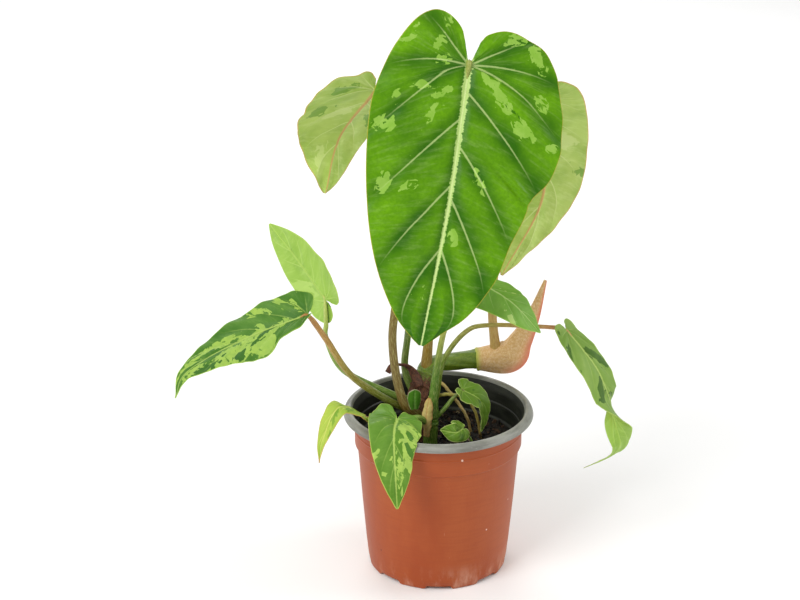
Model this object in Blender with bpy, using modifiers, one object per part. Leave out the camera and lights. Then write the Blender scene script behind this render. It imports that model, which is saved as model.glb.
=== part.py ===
"""Potted variegated philodendron: a young creeping philodendron in a 12 cm nursery pot.

The pot stands on the plane z = 0 with its axis on the Z axis, so the origin is the middle of the
pot's foot pad. +Z is up, -Y is the front, towards which the largest leaf faces. Metres throughout.

The plant is made of one creeping main stem, one young shoot beside it, a stalk (petiole) and a blade
for each leaf, the papery sheaths (cataphylls and bracts) that once wrapped the buds, and two aerial
roots. Blades are thin shells over one leaf formula, stalks are tapered tubes along hand-chosen routes.
"""

import math

import bmesh
import bpy
import numpy as np
from mathutils import Vector

MM = 0.001
GAP = 0.0003               # clearance between pieces that touch
MERGE = 0.00001            # weld distance
OBJECT_NAME = "potted_variegated_philodendron"

# Pot: a thin-walled 12 cm nursery pot
POT_HEIGHT = 0.1075
POT_RIM_RADIUS = 0.060
POT_FOOT_RADIUS = 0.0439
POT_SHOULDER_RADIUS = 0.0513   # where the tapered wall meets the collar
POT_COLLAR_RADIUS = 0.0530
POT_COLLAR_HEIGHT = 0.083      # height of the step below the collar
POT_RIDGE_HEIGHT = 0.094       # raised line round the collar
POT_LIP_RADIUS = 0.0570        # where the rim's rolled lip turns out from the collar
POT_LIP_HEIGHT = 0.1022
POT_WALL = 0.0010
POT_STEP = 0.0008              # size of the rim's and the collar's small steps
POT_FLOOR_HEIGHT = 0.0032      # underside of the raised floor
POT_PAD_RADIUS = 0.016         # pressed-down middle of the floor
WALL_HEIGHTS = (0.0, 0.006, 0.018, 0.044, 0.065)
POT_TAPER = 0.8                # below 1 the wall widens fastest near the foot
POT_STEPS = 40
FOOT_RING_WIDTH = 0.0035
FOOT_NOTCHES = 8
FOOT_NOTCH = (0.0160, 0.0022)  # width and height
DRAIN_HOLES = 8
DRAIN_RADIUS = 0.0035
DRAIN_CIRCLE = 0.029

# Soil
SOIL_TOP = 0.083
SOIL_BOTTOM = 0.0048
SOIL_RINGS = (0.0, 0.008, 0.016, 0.024, 0.032, 0.040, 0.046)
SOIL_LUMP = 0.0011             # how far the surface rises and falls
SOIL_GAP = 0.0004              # from the pot's wall

# Blades and tubes
BLADE_THICKNESS = 0.0008
BLADE_MERGE = 0.0002           # weld distance where the rows of a blade meet at the sinus
ROW_LEAN = 0.22                # how far behind its margin point a row leaves the midrib
ROW_BEND = 1.25                # above 1 the rows curve towards the tip
CURVE_SAMPLES = 80
TUBE_SPACING = 0.011           # length of one straight run of a stalk
STALK_CLEARANCE = 1.2          # a stalk's end below its blade, in stalk radii and gaps

# Half of a blade's outline from the stalk to the tip: (across, along) as shares of half width and length.
# The first points go behind the stalk, round the basal lobe.
HEART = ((0.10, -0.10), (0.28, -0.17), (0.58, -0.175), (0.88, -0.06), (1.0, 0.10),
         (0.95, 0.32), (0.76, 0.58), (0.44, 0.81), (0.15, 0.95), (0.03, 1.0))
BROAD_HEART = ((0.09, -0.08), (0.15, -0.12), (0.30, -0.16), (0.48, -0.165), (0.66, -0.12),
               (0.85, -0.01), (0.97, 0.12), (1.0, 0.24), (0.95, 0.42), (0.83, 0.60), (0.64, 0.76),
               (0.37, 0.90), (0.15, 0.97), (0.03, 1.0))
NOTCHED_HEART = ((0.08, -0.08), (0.15, -0.11), (0.32, -0.13), (0.52, -0.115),
                 (0.75, -0.07), (0.91, 0.04), (0.99, 0.16), (1.0, 0.27), (0.94, 0.36), (0.79, 0.435),
                 (0.76, 0.48), (0.66, 0.60), (0.58, 0.73), (0.40, 0.86), (0.17, 0.95), (0.03, 1.0))
LANCE = ((0.12, -0.03), (0.25, -0.05), (0.6, -0.04), (0.9, 0.08), (1.0, 0.22), (0.95, 0.40),
         (0.76, 0.60), (0.46, 0.79), (0.18, 0.92), (0.05, 0.975), (0.03, 1.0))
DROOPING_LANCE = ((0.14, -0.05), (0.25, -0.07), (0.6, -0.08), (0.9, 0.03), (1.0, 0.16), (0.95, 0.36),
                  (0.76, 0.58), (0.46, 0.78), (0.18, 0.91), (0.05, 0.97), (0.03, 1.0))
BULGED_LANCE = ((0.12, -0.03), (0.35, 0.0), (0.55, 0.09), (0.74, 0.20), (0.96, 0.28),
                (1.0, 0.36), (0.88, 0.48), (0.70, 0.61), (0.46, 0.76), (0.2, 0.88), (0.05, 0.97),
                (0.03, 1.0))
SCALE_LEAF = ((0.5, 0.0), (0.8, 0.2), (1.0, 0.5), (0.8, 0.8), (0.35, 0.96), (0.05, 1.0))

# Each blade, in millimetres and degrees. midrib: where the stalk meets it, the bow on the way, and the
# tip. faces: the way its upper side looks at the stalk. half: widths of its left and right half.
# lobes: length of each basal lobe as a share of the outline's. fold: how far the halves rise from the
# midrib at the stalk and at the tip. curl: how far each half bends down towards its margin.
# twist: turn about the midrib, over twist_span of its length. cells: rows, and columns in each half.
FOLD = (10, 10)
CURL = (-20, -20)
LEAST_CURL = 0.1               # keeps the bend formula away from a division by nothing
BLADES = {
    "leaf_blade_large_front": dict(
        midrib=((16, -16, 333), (4, -48, 257), (-12, -65, 176)), faces=(0.1, -1.0, 0.3),
        outlines=(NOTCHED_HEART, BROAD_HEART), half=(60, 54), cells=(18, 4)),
    "leaf_blade_back_left": dict(
        midrib=((-39, 39, 303), (-63, 67, 264), (-72, 60, 229)), faces=(-0.5, 0.8, 0.4),
        half=(42, 34), cells=(14, 4)),
    "leaf_blade_back_right": dict(
        midrib=((57, 31, 297), (68, 70, 226), (42, 66, 171)), faces=(0.0, 1.0, 0.0), half=(36, 32),
        lobes=(0.9, 0.5), twist=-15, cells=(16, 4)),
    "leaf_blade_left_upper": dict(
        midrib=((-71, 22, 171), (-90, 50, 188), (-109, 73, 204)), faces=(0.7, 0.7, 0.0),
        half=(17, 19), lobes=(0.8, 0.8), curl=(-30, -20), twist=30, cells=(12, 3)),
    "leaf_blade_left_long": dict(
        midrib=((-80, -31, 182), (-119, -34, 167), (-152, -48, 152), (-159, -56, 138)),
        faces=(-0.3, -0.4, 0.9), outlines=(BULGED_LANCE, DROOPING_LANCE), half=(24, 20),
        lobes=(1.0, 0.8), fold=(25, 0), curl=(-40, -15), twist=15, cells=(14, 4)),
    "leaf_blade_right_small": dict(
        midrib=((24, -9, 195), (44, -25, 187), (61, -26, 168)), faces=(0.1, -0.2, 1.0),
        half=(18, 18), lobes=(0.9, 1.2), fold=(-10, 5), curl=(-10, -25), cells=(10, 3)),
    "leaf_blade_right_hanging": dict(
        midrib=((80, 3, 158), (100, -10, 134), (112, -10, 98), (113, -8, 80), (94, 6, 61)),
        faces=(0.6, -0.6, 0.5), outlines=(LANCE, LANCE), half=(10, 13), fold=(5, 0),
        curl=(0, -20), twist=-170, twist_span=(0.4, 0.7), cells=(20, 3)),
    "leaf_blade_front_small": dict(
        midrib=((-26, -33, 114), (-28, -60, 113), (-26, -80, 76)), faces=(0.2, -0.5, 0.8),
        half=(17, 17), lobes=(0.8, 1.1), fold=(5, 0), twist=-10, cells=(10, 3)),
    "leaf_blade_left_small": dict(
        midrib=((-46, -34, 116), (-61, -56, 132), (-71, -60, 112), (-73, -60, 97)),
        faces=(-0.1, -0.5, 1.0), outlines=(LANCE, LANCE), half=(7, 8), fold=(5, 10),
        curl=(-30, -25), cells=(12, 3)),
    "leaf_blade_inner": dict(
        midrib=((15, -3, 120), (27, -3, 111), (27, -8, 93)), faces=(0.3, -0.3, 0.9), half=(10, 12),
        lobes=(0.8, 0.8), fold=(20, 25), curl=(-30, -25), cells=(9, 3)),
    "leaf_blade_sprout": dict(
        midrib=((15, -24, 103), (10, -32, 104), (1, -26, 103)), faces=(0.5, -0.3, 0.8), half=(7, 8),
        lobes=(0.8, 1.2), fold=(0, 0), curl=(-30, -25), twist=-40, cells=(8, 3)),
    "green_bract": dict(
        midrib=((-15, -4, 107), (-15, -6, 114), (-15, -7, 122)), faces=(0.1, -1.0, 0.2),
        outlines=(SCALE_LEAF, SCALE_LEAF), half=(5, 5), fold=(0, 0), curl=(-60, -60), cells=(6, 3)),
    "shoot_sheath": dict(
        midrib=((-8, -13, 92), (-8, -14, 106), (-6, -13, 119)), faces=(-0.5, -1.0, 0.1),
        outlines=(SCALE_LEAF, SCALE_LEAF), half=(4, 4), fold=(0, 0), curl=(-70, -70), cells=(6, 3)),
}

# Each tube, in millimetres: its route as far as its blade, radii spread evenly along it, and the
# pieces that it grows out of, which trim its base.
TUBES = {
    "main_stem": dict(
        route=((-12, 6, 71), (-13, 7, 84), (-15, 11, 100), (-8, 26, 120), (0, 32, 123), (25, 45, 121)),
        radii=(6, 7, 7, 5.5, 5.5, 6), sides=2),
    "young_shoot": dict(
        route=((-5, -6, 71), (-5, -6, 86), (-4, -6, 102)), radii=(4, 4.5, 4), sides=2,
        trimmed_by=("main_stem",)),
    "cataphyll": dict(
        route=((25, 45, 121), (46, 46, 123), (54, 46, 134), (62, 46, 152), (69, 46, 175)),
        radii=(6.5, 10, 7, 4, 1), sides=2, trimmed_by=("main_stem",)),
    "petiole_large_front": dict(
        route=((-8, 26, 121), (-6, 26, 144), (0, 24, 224), (9, 10, 286)), radii=(3, 2.5),
        blade="leaf_blade_large_front", trimmed_by=("main_stem",)),
    "petiole_back_left": dict(
        route=((-13, 6, 98), (-23, -1, 113), (-29, 12, 147), (-26, 30, 195), (-38, 36, 285)),
        radii=(3, 2), blade="leaf_blade_back_left", trimmed_by=("main_stem",)),
    "petiole_trimmed": dict(
        route=((-14, 16, 106), (-21, 24, 123), (-19, 25, 149), (-14, 26, 203)), radii=(2.5, 2),
        trimmed_by=("main_stem",)),
    "petiole_back_right": dict(
        route=((38, 45, 124), (35, 42, 163), (39, 39, 212), (46, 36, 252)), radii=(3, 2),
        blade="leaf_blade_back_right", trimmed_by=("cataphyll",)),
    "petiole_right_small": dict(
        route=((-4, -6, 103), (-2, -6, 131), (3, -9, 162), (11, -9, 180)),
        radii=(3.5, 2, 1.5, 1.5, 1.5), blade="leaf_blade_right_small"),
    "petiole_right_hanging": dict(
        route=((-7, 1, 95), (-1, 8, 112), (3, 8, 135), (16, 6, 155), (31, 4, 161), (70, 3, 160)),
        radii=(2, 1), blade="leaf_blade_right_hanging", trimmed_by=("young_shoot", "main_stem")),
    "petiole_left_long": dict(
        route=((-15, 11, 98), (-34, -5, 115), (-55, -20, 138), (-70, -28, 166)), radii=(2.5, 1.5),
        blade="leaf_blade_left_long", trimmed_by=("main_stem", "petiole_back_left")),
    "petiole_left_upper": dict(
        route=((-15, 12, 105), (-31, 10, 112), (-60, 14, 126), (-71, 18, 146), (-71, 18, 156)),
        radii=(2.5, 1), blade="leaf_blade_left_upper", trimmed_by=("main_stem",)),
    "petiole_front_small": dict(
        route=((-6, -8, 99), (-12, -16, 106), (-19, -25, 110)), radii=(2.5, 1.5),
        blade="leaf_blade_front_small", trimmed_by=("young_shoot", "shoot_sheath", "petiole_right_small")),
    "petiole_left_small": dict(
        route=((-12, 0, 94), (-26, -14, 100), (-41, -30, 112)), radii=(1.5, 1),
        blade="leaf_blade_left_small", trimmed_by=("main_stem",)),
    "petiole_inner": dict(
        route=((-4, -6, 99), (5, -4, 109), (9, -3, 114)), radii=(1.5, 1), blade="leaf_blade_inner",
        trimmed_by=("young_shoot", "petiole_right_small")),
    "petiole_sprout": dict(
        route=((20, -21, 80), (20, -22, 89), (20, -24, 95)), radii=(1, 0.8), blade="leaf_blade_sprout"),
    "aerial_root_arched": dict(
        route=((-6, 12, 108), (6, 10, 111), (17, 6, 110), (24, 4, 100), (28, 4, 79)), radii=(1.2, 0.8),
        trimmed_by=("main_stem", "petiole_right_hanging")),
    "aerial_root_straight": dict(
        route=((-4, 24, 118), (5, 19, 112), (18, 10, 96), (22, 9, 79)), radii=(1.1, 0.9),
        trimmed_by=("main_stem",)),
    "dried_cataphyll": dict(
        route=((-12, 14, 115), (-18, 18, 126), (-29, 18, 128), (-32, 15, 124)), radii=(3.5, 1.5, 1, 1.5),
        trimmed_by=("main_stem", "petiole_trimmed", "petiole_back_left")),
}
SOIL_SOCKETS = ("main_stem", "young_shoot", "petiole_sprout", "aerial_root_arched", "aerial_root_straight")

COLOURS = {
    "pot": (0.52, 0.20, 0.10),
    "potting_soil": (0.025, 0.018, 0.012),
    "blade": (0.11, 0.26, 0.03),
    "underside": (0.42, 0.55, 0.18),
    "petiole": (0.22, 0.24, 0.04),
    "main_stem": (0.10, 0.04, 0.015),
    "young_shoot": (0.14, 0.27, 0.02),
    "cataphyll": (0.66, 0.40, 0.20),
    "dried_cataphyll": (0.08, 0.025, 0.01),
    "green_bract": (0.20, 0.38, 0.08),
    "shoot_sheath": (0.50, 0.45, 0.20),
    "aerial_root": (0.42, 0.36, 0.10),
}
BACK_FACING = ("leaf_blade_back_left", "leaf_blade_back_right", "leaf_blade_left_upper")


# ---------------------------------------------------------------- scene and helpers
def clear_scene():
    for old in list(bpy.data.objects):
        bpy.data.objects.remove(old, do_unlink=True)


def new_collection(name):
    collection = bpy.data.collections.new(name)
    bpy.context.scene.collection.children.link(collection)
    return collection


def plain_material(name, colour, roughness):
    material = bpy.data.materials.new(name)
    material.use_nodes = True
    shader = material.node_tree.nodes["Principled BSDF"]
    shader.inputs["Base Color"].default_value = (*colour, 1.0)
    shader.inputs["Roughness"].default_value = roughness
    shader.inputs["Metallic"].default_value = 0.0
    return material


def add_object(name, mesh, collection, colour, roughness=0.45):
    piece = bpy.data.objects.new(name, mesh)
    collection.objects.link(piece)
    if colour is not None:
        mesh.materials.clear()
        mesh.materials.append(plain_material(name, colour, roughness))
    return piece


def make_cutter(piece):
    piece.hide_render = True
    piece.display_type = "WIRE"
    return piece


def cut(piece, cutter):
    modifier = piece.modifiers.new("cut_" + cutter.name, "BOOLEAN")
    modifier.operation = "DIFFERENCE"
    modifier.solver = "EXACT"
    modifier.object = cutter


def smooth_curve(points, samples):
    """Catmull-Rom curve through the points, sampled at even distances along it."""
    points = np.asarray(points, float)
    before = 2 * points[0] - points[1]
    after = 2 * points[-1] - points[-2]
    knots = np.vstack([before, points, after])
    t = np.linspace(0, 1, 24, endpoint=False)[:, None]
    runs = []
    for a, b, c, d in zip(knots, knots[1:], knots[2:], knots[3:]):
        runs.append(0.5 * (2 * b + (c - a) * t + (2 * a - 5 * b + 4 * c - d) * t**2
                           + (3 * b - a - 3 * c + d) * t**3))
    fine = np.vstack(runs + [points[-1:]])
    steps = np.linalg.norm(np.diff(fine, axis=0), axis=1)
    distance = np.concatenate([[0], np.cumsum(steps)])
    wanted = np.linspace(0, distance[-1], samples)
    return np.stack([np.interp(wanted, distance, fine[:, k]) for k in range(fine.shape[1])], 1)


def unit(vector):
    return vector / np.linalg.norm(vector)


# ---------------------------------------------------------------- pot and soil
def wall_radius(height):
    """Radius of the pot's tapered outer wall at a height below the collar."""
    share = (height / POT_COLLAR_HEIGHT) ** POT_TAPER
    return POT_FOOT_RADIUS + (POT_SHOULDER_RADIUS - POT_FOOT_RADIUS) * share


def pot_profile():
    """From the middle of the floor up the inside, over the rim, down the outside and back under."""
    floor_top = POT_FLOOR_HEIGHT + POT_WALL
    foot_inside = POT_FOOT_RADIUS - FOOT_RING_WIDTH
    step = POT_STEP
    wall = [(wall_radius(height), height) for height in WALL_HEIGHTS]
    collar = [(POT_SHOULDER_RADIUS, POT_COLLAR_HEIGHT - step),
              (POT_COLLAR_RADIUS, POT_COLLAR_HEIGHT + step),
              (POT_COLLAR_RADIUS, POT_RIDGE_HEIGHT - step), (POT_COLLAR_RADIUS + step, POT_RIDGE_HEIGHT),
              (POT_COLLAR_RADIUS + step / 2, POT_RIDGE_HEIGHT + step),
              (POT_COLLAR_RADIUS + step, POT_LIP_HEIGHT - 2 * step)]
    rim = [(POT_LIP_RADIUS, POT_LIP_HEIGHT), (POT_RIM_RADIUS, POT_LIP_HEIGHT + step),
           (POT_RIM_RADIUS, POT_LIP_HEIGHT + 2 * step), (POT_RIM_RADIUS - step, POT_HEIGHT - 2 * step),
           (POT_LIP_RADIUS, POT_HEIGHT), (POT_LIP_RADIUS - 2 * step, POT_HEIGHT),
           (POT_LIP_RADIUS - 3 * step, POT_HEIGHT - 2 * step)]
    inside = [(radius - POT_WALL, height) for radius, height in reversed(wall[1:] + collar)]
    floor = [(wall_radius(floor_top) - 2 * POT_WALL, floor_top), (POT_PAD_RADIUS + POT_WALL, floor_top),
             (POT_PAD_RADIUS - POT_WALL, POT_WALL), (0.0, POT_WALL)]
    below = [(0.0, 0.0), (POT_PAD_RADIUS, 0.0), (POT_PAD_RADIUS + 2 * POT_WALL, POT_FLOOR_HEIGHT),
             (foot_inside - POT_WALL, POT_FLOOR_HEIGHT), (foot_inside, 0.0)]
    return below + wall + collar + rim + inside + floor


def turned(name, profile, collection, colour, roughness):
    """A solid turned round the Z axis from a profile of (radius, height) points."""
    mesh = bpy.data.meshes.new(name)
    shape = bmesh.new()
    corners = [shape.verts.new((radius, 0.0, height)) for radius, height in profile]
    for start, end in zip(corners, corners[1:]):
        shape.edges.new((start, end))
    shape.to_mesh(mesh)
    shape.free()
    piece = add_object(name, mesh, collection, colour, roughness)
    screw = piece.modifiers.new("turn", "SCREW")
    screw.steps = POT_STEPS
    screw.render_steps = POT_STEPS
    screw.use_merge_vertices = True
    screw.merge_threshold = MERGE
    screw.use_smooth_shade = True
    return piece


def box_cutter(name, size, location, angle, cutters):
    """A box whose long side points away from the pot's axis at the angle."""
    mesh = bpy.data.meshes.new(name)
    shape = bmesh.new()
    bmesh.ops.create_cube(shape, size=1.0)
    bmesh.ops.scale(shape, vec=size, verts=shape.verts)
    shape.to_mesh(mesh)
    shape.free()
    box = make_cutter(add_object(name, mesh, cutters, None))
    box.location = location
    box.rotation_euler = (0.0, 0.0, angle)
    return box


def hole_cutter(name, radius, height, location, cutters):
    mesh = bpy.data.meshes.new(name)
    shape = bmesh.new()
    bmesh.ops.create_cone(shape, cap_ends=True, segments=10, radius1=radius, radius2=radius, depth=height)
    shape.to_mesh(mesh)
    shape.free()
    hole = make_cutter(add_object(name, mesh, cutters, None))
    hole.location = location
    return hole


def make_pot(parts, cutters):
    pot = turned("pot", pot_profile(), parts, COLOURS["pot"], 0.42)
    width, height = FOOT_NOTCH
    reach = 2 * FOOT_RING_WIDTH + 0.004
    middle = POT_FOOT_RADIUS - FOOT_RING_WIDTH / 2
    for i in range(FOOT_NOTCHES):
        angle = math.radians(-90 + 360 * i / FOOT_NOTCHES)
        place = (middle * math.cos(angle), middle * math.sin(angle), 0.0)
        cut(pot, box_cutter(f"foot_notch_{i}", (reach, width, 2 * height), place, angle, cutters))
    for i in range(DRAIN_HOLES):
        angle = math.radians(-90 + 360 * (i + 0.5) / DRAIN_HOLES)
        place = (DRAIN_CIRCLE * math.cos(angle), DRAIN_CIRCLE * math.sin(angle), POT_FLOOR_HEIGHT)
        cut(pot, hole_cutter(f"drain_hole_{i}", DRAIN_RADIUS, 0.006, place, cutters))
    return pot


def soil_height(x, y):
    """The pressed, lumpy top of the soil."""
    lumps = math.sin(310 * x + 1.0) * math.cos(270 * y) + 0.6 * math.sin(520 * y + 700 * x)
    return SOIL_TOP + SOIL_LUMP * lumps / 1.6


def make_soil(parts, cutters):
    inner = POT_WALL + SOIL_GAP
    profile = [(radius, SOIL_TOP) for radius in SOIL_RINGS]
    profile.append((POT_SHOULDER_RADIUS - inner, SOIL_TOP - SOIL_LUMP))
    profile += [(wall_radius(height) - inner, height) for height in reversed(WALL_HEIGHTS[1:])]
    profile += [(POT_FOOT_RADIUS - 3 * POT_WALL, SOIL_BOTTOM), (0.0, SOIL_BOTTOM)]
    soil = turned("potting_soil", profile, parts, COLOURS["potting_soil"], 0.95)
    bake_modifiers(soil)
    for vertex in soil.data.vertices:
        if vertex.co.z > SOIL_TOP - MERGE:
            vertex.co.z = soil_height(vertex.co.x, vertex.co.y)
    for name in SOIL_SOCKETS:
        cut(soil, clearance_copy(name, cutters))
    return soil


def bake_modifiers(piece):
    """Replaces the object's mesh with the shape that its modifiers make of it."""
    evaluated = piece.evaluated_get(bpy.context.evaluated_depsgraph_get())
    mesh = bpy.data.meshes.new_from_object(evaluated)
    piece.modifiers.clear()
    piece.data = mesh
    return mesh


# ---------------------------------------------------------------- blades
class LeafFrame:
    """The moving frame along a blade's midrib: place, forward, upper side and right-hand side."""

    def __init__(self, spec):
        line = smooth_curve(spec["midrib"], CURVE_SAMPLES + 1) * MM
        forward = np.gradient(line, axis=0)
        forward /= np.linalg.norm(forward, axis=1)[:, None]
        up = np.asarray(spec["faces"], float)
        carried = []
        for direction in forward:
            up = unit(up - direction * (up @ direction))
            carried.append(up)
        carried = np.array(carried)
        share = np.linspace(0, 1, len(line))
        start, end = spec.get("twist_span", (0.0, 1.0))
        turn = np.radians(spec.get("twist", 0)) * np.clip((share - start) / (end - start), 0, 1)
        side = np.cross(forward, carried)
        up = carried * np.cos(turn)[:, None] + side * np.sin(turn)[:, None]
        self.share, self.line, self.forward, self.up = share, line, forward, up
        self.side = np.cross(forward, up)
        self.length = float(np.linalg.norm(np.diff(line, axis=0), axis=1).sum())

    def at(self, share, field):
        share = np.clip(share, 0, 1)
        return np.stack([np.interp(share, self.share, field[:, k]) for k in range(3)], 1)


def half_grid(outline, half_width, lobe, length, rows, columns):
    """Flat (across, along) points of one half blade; its rows run from the midrib like side veins.

    The rows of the basal lobe all start at the sinus.
    """
    outline = np.array(outline, float)
    outline[:, 0] *= half_width
    outline[:, 1] = np.where(outline[:, 1] < 0, outline[:, 1] * lobe, outline[:, 1]) * length
    edge = smooth_curve(outline, rows + 1)
    root = edge[:, 1] / length - ROW_LEAN * (1 - edge[:, 1] / length) * edge[:, 0] / half_width
    root = np.maximum.accumulate(np.clip(root, 0, 1))
    root *= length / root[-1]
    share = np.linspace(0, 1, columns + 1)
    across = edge[:, :1] * share
    along = root[:, None] + (edge[:, 1:] - root[:, None]) * share**ROW_BEND
    return across, along


def blade_points(spec, rows, columns):
    """Points of the blade's middle surface, as a (rows + 1, 2 * columns + 1, 3) array."""
    frame = LeafFrame(spec)
    widths = np.array(spec["half"]) * MM
    halves = []
    for k, sign in enumerate((-1, 1)):
        outline = spec.get("outlines", (HEART, HEART))[k]
        lobe = spec.get("lobes", (1.0, 1.0))[k]
        across, along = half_grid(outline, widths[k], lobe, frame.length, rows, columns)
        share = np.clip(along / frame.length, 0, 1)
        fold = np.radians(np.interp(share, (0, 1), spec.get("fold", FOLD)))
        bend = np.radians(spec.get("curl", CURL)[k] - LEAST_CURL) / max(widths)
        out = (np.sin(fold + bend * across) - np.sin(fold)) / bend
        rise = (np.cos(fold) - np.cos(fold + bend * across)) / bend
        flat = share.ravel()
        behind = frame.at(flat, frame.forward) * np.minimum(along, 0).ravel()[:, None]
        points = (frame.at(flat, frame.line) + behind
                  + frame.at(flat, frame.side) * (sign * out).ravel()[:, None]
                  + frame.at(flat, frame.up) * rise.ravel()[:, None])
        halves.append(points.reshape(rows + 1, columns + 1, 3))
    left, right = halves
    return np.concatenate([left[:, :0:-1], right], axis=1)


def make_blade(name, spec, collection, colour):
    rows, columns = spec["cells"]
    points = blade_points(spec, rows, columns)
    mesh = bpy.data.meshes.new(name)
    shape = bmesh.new()
    bmesh.ops.create_grid(shape, x_segments=2 * columns, y_segments=rows, size=1.0)
    for vertex in shape.verts:
        column = round((vertex.co.x + 1) * columns)
        row = round((vertex.co.y + 1) * rows / 2)
        vertex.co = Vector(points[row, column])
    bmesh.ops.remove_doubles(shape, verts=shape.verts, dist=BLADE_MERGE)
    shape.to_mesh(mesh)
    shape.free()
    mesh.shade_smooth()
    blade = add_object(name, mesh, collection, colour)
    shell = blade.modifiers.new("thickness", "SOLIDIFY")
    shell.thickness = BLADE_THICKNESS
    shell.offset = 0.0
    return blade


# ---------------------------------------------------------------- stalks, stems and roots
def full_route(spec):
    """The tube's route, led to the underside of its blade where it carries one."""
    route = [np.array(point) * MM for point in spec["route"]]
    if "blade" in spec:
        frame = LeafFrame(BLADES[spec["blade"]])
        clear = spec["radii"][-1] * MM + BLADE_THICKNESS / 2 + GAP
        route.append(frame.line[0] - frame.up[0] * STALK_CLEARANCE * clear)
    return np.array(route)


def tube_mesh(name, spec, extra=0.0):
    """A closed, tapered tube; extra makes it fatter all round and longer at its start."""
    route = full_route(spec)
    radii = np.interp(np.linspace(0, 1, len(route)), np.linspace(0, 1, len(spec["radii"])), spec["radii"])
    keys = np.column_stack([route, radii * MM])
    length = np.linalg.norm(np.diff(route, axis=0), axis=1).sum()
    count = max(5, round(length / TUBE_SPACING) + 4)
    points = smooth_curve(keys, count)
    if extra:
        points[0, :3] -= unit(points[1, :3] - points[0, :3]) * extra
        points[-1, :3] += unit(points[-1, :3] - points[-2, :3]) * extra
    curve = bpy.data.curves.new(name, "CURVE")
    curve.dimensions = "3D"
    curve.bevel_depth = 1.0
    curve.bevel_resolution = spec.get("sides", 1)
    curve.use_fill_caps = True
    spline = curve.splines.new("POLY")
    spline.points.add(count - 1)
    for point, (x, y, z, radius) in zip(spline.points, points):
        point.co = (x, y, z, 1.0)
        point.radius = radius + extra
    holder = bpy.data.objects.new(name + "_curve", curve)
    bpy.context.scene.collection.objects.link(holder)
    bpy.context.view_layer.update()
    mesh = bpy.data.meshes.new_from_object(holder.evaluated_get(bpy.context.evaluated_depsgraph_get()))
    bpy.data.objects.remove(holder)
    shape = bmesh.new()
    shape.from_mesh(mesh)
    bmesh.ops.remove_doubles(shape, verts=shape.verts, dist=MERGE)
    shape.to_mesh(mesh)
    shape.free()
    mesh.shade_smooth()
    return mesh


CUTTERS = {}


def clearance_copy(name, cutters):
    """A copy of a tube or blade that is GAP fatter, kept so that each is made once."""
    if name not in CUTTERS:
        if name in TUBES:
            piece = add_object(name + "_clearance", tube_mesh(name, TUBES[name], GAP), cutters, None)
        else:
            piece = make_blade(name + "_clearance", BLADES[name], cutters, None)
            piece.modifiers["thickness"].thickness += 2 * GAP
        CUTTERS[name] = make_cutter(piece)
    return CUTTERS[name]


def make_tube(name, spec, parts, cutters):
    family = name.split("_")[0]
    colour = COLOURS.get(name) or COLOURS["aerial_root" if family == "aerial" else "petiole"]
    tube = add_object(name, tube_mesh(name, spec), parts, colour)
    for neighbour in spec.get("trimmed_by", ()):
        cut(tube, clearance_copy(neighbour, cutters))
    return tube


def main():
    clear_scene()
    parts = new_collection(OBJECT_NAME)
    cutters = new_collection("cutters")
    make_pot(parts, cutters)
    for name, spec in TUBES.items():
        make_tube(name, spec, parts, cutters)
    for name, spec in BLADES.items():
        colour = COLOURS.get(name) or COLOURS["underside" if name in BACK_FACING else "blade"]
        make_blade(name, spec, parts, colour)
    make_soil(parts, cutters)


main()
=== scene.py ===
"""Looks of the potted variegated philodendron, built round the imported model.

Metres, +Z up, -Y towards the viewer. Every CAD node is replaced by a finer piece in the same place: blades
come from the same leaf formula as in the CAD, on a finer grid with veins, quilting and ripples, stalks and
stems from the same routes with rings and ridges, and the pot is turned from the same profile.
"""

import math

import bmesh
import bpy
import numpy as np
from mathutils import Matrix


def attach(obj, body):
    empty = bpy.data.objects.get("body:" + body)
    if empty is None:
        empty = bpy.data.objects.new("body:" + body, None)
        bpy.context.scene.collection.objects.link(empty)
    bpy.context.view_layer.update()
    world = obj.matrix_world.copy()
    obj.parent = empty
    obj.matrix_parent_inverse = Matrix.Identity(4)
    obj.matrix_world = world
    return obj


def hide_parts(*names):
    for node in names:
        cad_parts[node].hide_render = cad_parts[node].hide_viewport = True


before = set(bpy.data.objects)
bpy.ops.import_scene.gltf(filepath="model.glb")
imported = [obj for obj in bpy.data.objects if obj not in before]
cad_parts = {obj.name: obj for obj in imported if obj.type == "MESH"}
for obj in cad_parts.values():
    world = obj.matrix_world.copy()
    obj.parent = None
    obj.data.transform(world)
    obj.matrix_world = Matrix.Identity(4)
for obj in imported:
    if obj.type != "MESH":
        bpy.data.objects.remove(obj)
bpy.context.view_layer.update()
rng = np.random.default_rng(20)

MM = 0.001
BODY = "root"
BLADE_THICKNESS = 0.0008
CURVE_SAMPLES = 80
ROW_LEAN = 0.22                # how far behind its margin point a row leaves the midrib
ROW_BEND = 1.25                # above 1 the rows curve towards the tip
VEIN_END = 0.55                # the count of side veins stops this far past the first and last
WIDEST_VEIN_GAP = 0.030        # where veins run parallel their spacing is cut off here
PATCH_EDGE = (-0.04, 0.08)     # mm over which a patch's colour changes
NO_PATCH = -6.0                # mm; the patch field far from every patch
THICK_TUBE = 4                 # mm; thicker stems get the finer grid
FINE_TUBE = (0.4 * MM, 64)     # spacing of the rings, and points round each
PLAIN_TUBE = (0.7 * MM, 24)
LEAST_STEPS = 24               # rings of the shortest tube
LEAST_RADIUS = 0.0002
TUBE_END = 0.0003              # how far a tube's rounded end stands out
SHEATH_KEEL = math.radians(65)
SHEATH_OVERLAP = math.radians(-60)
STEM_RINGS = (0.14, 0.27, 0.37, 0.47, 0.56)   # leaf scars, as shares along the stem
SOIL_GAP = 0.0004
SOIL_STEPS = 180
SOIL_ROWS = 60
CRUMBS = 900

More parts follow.
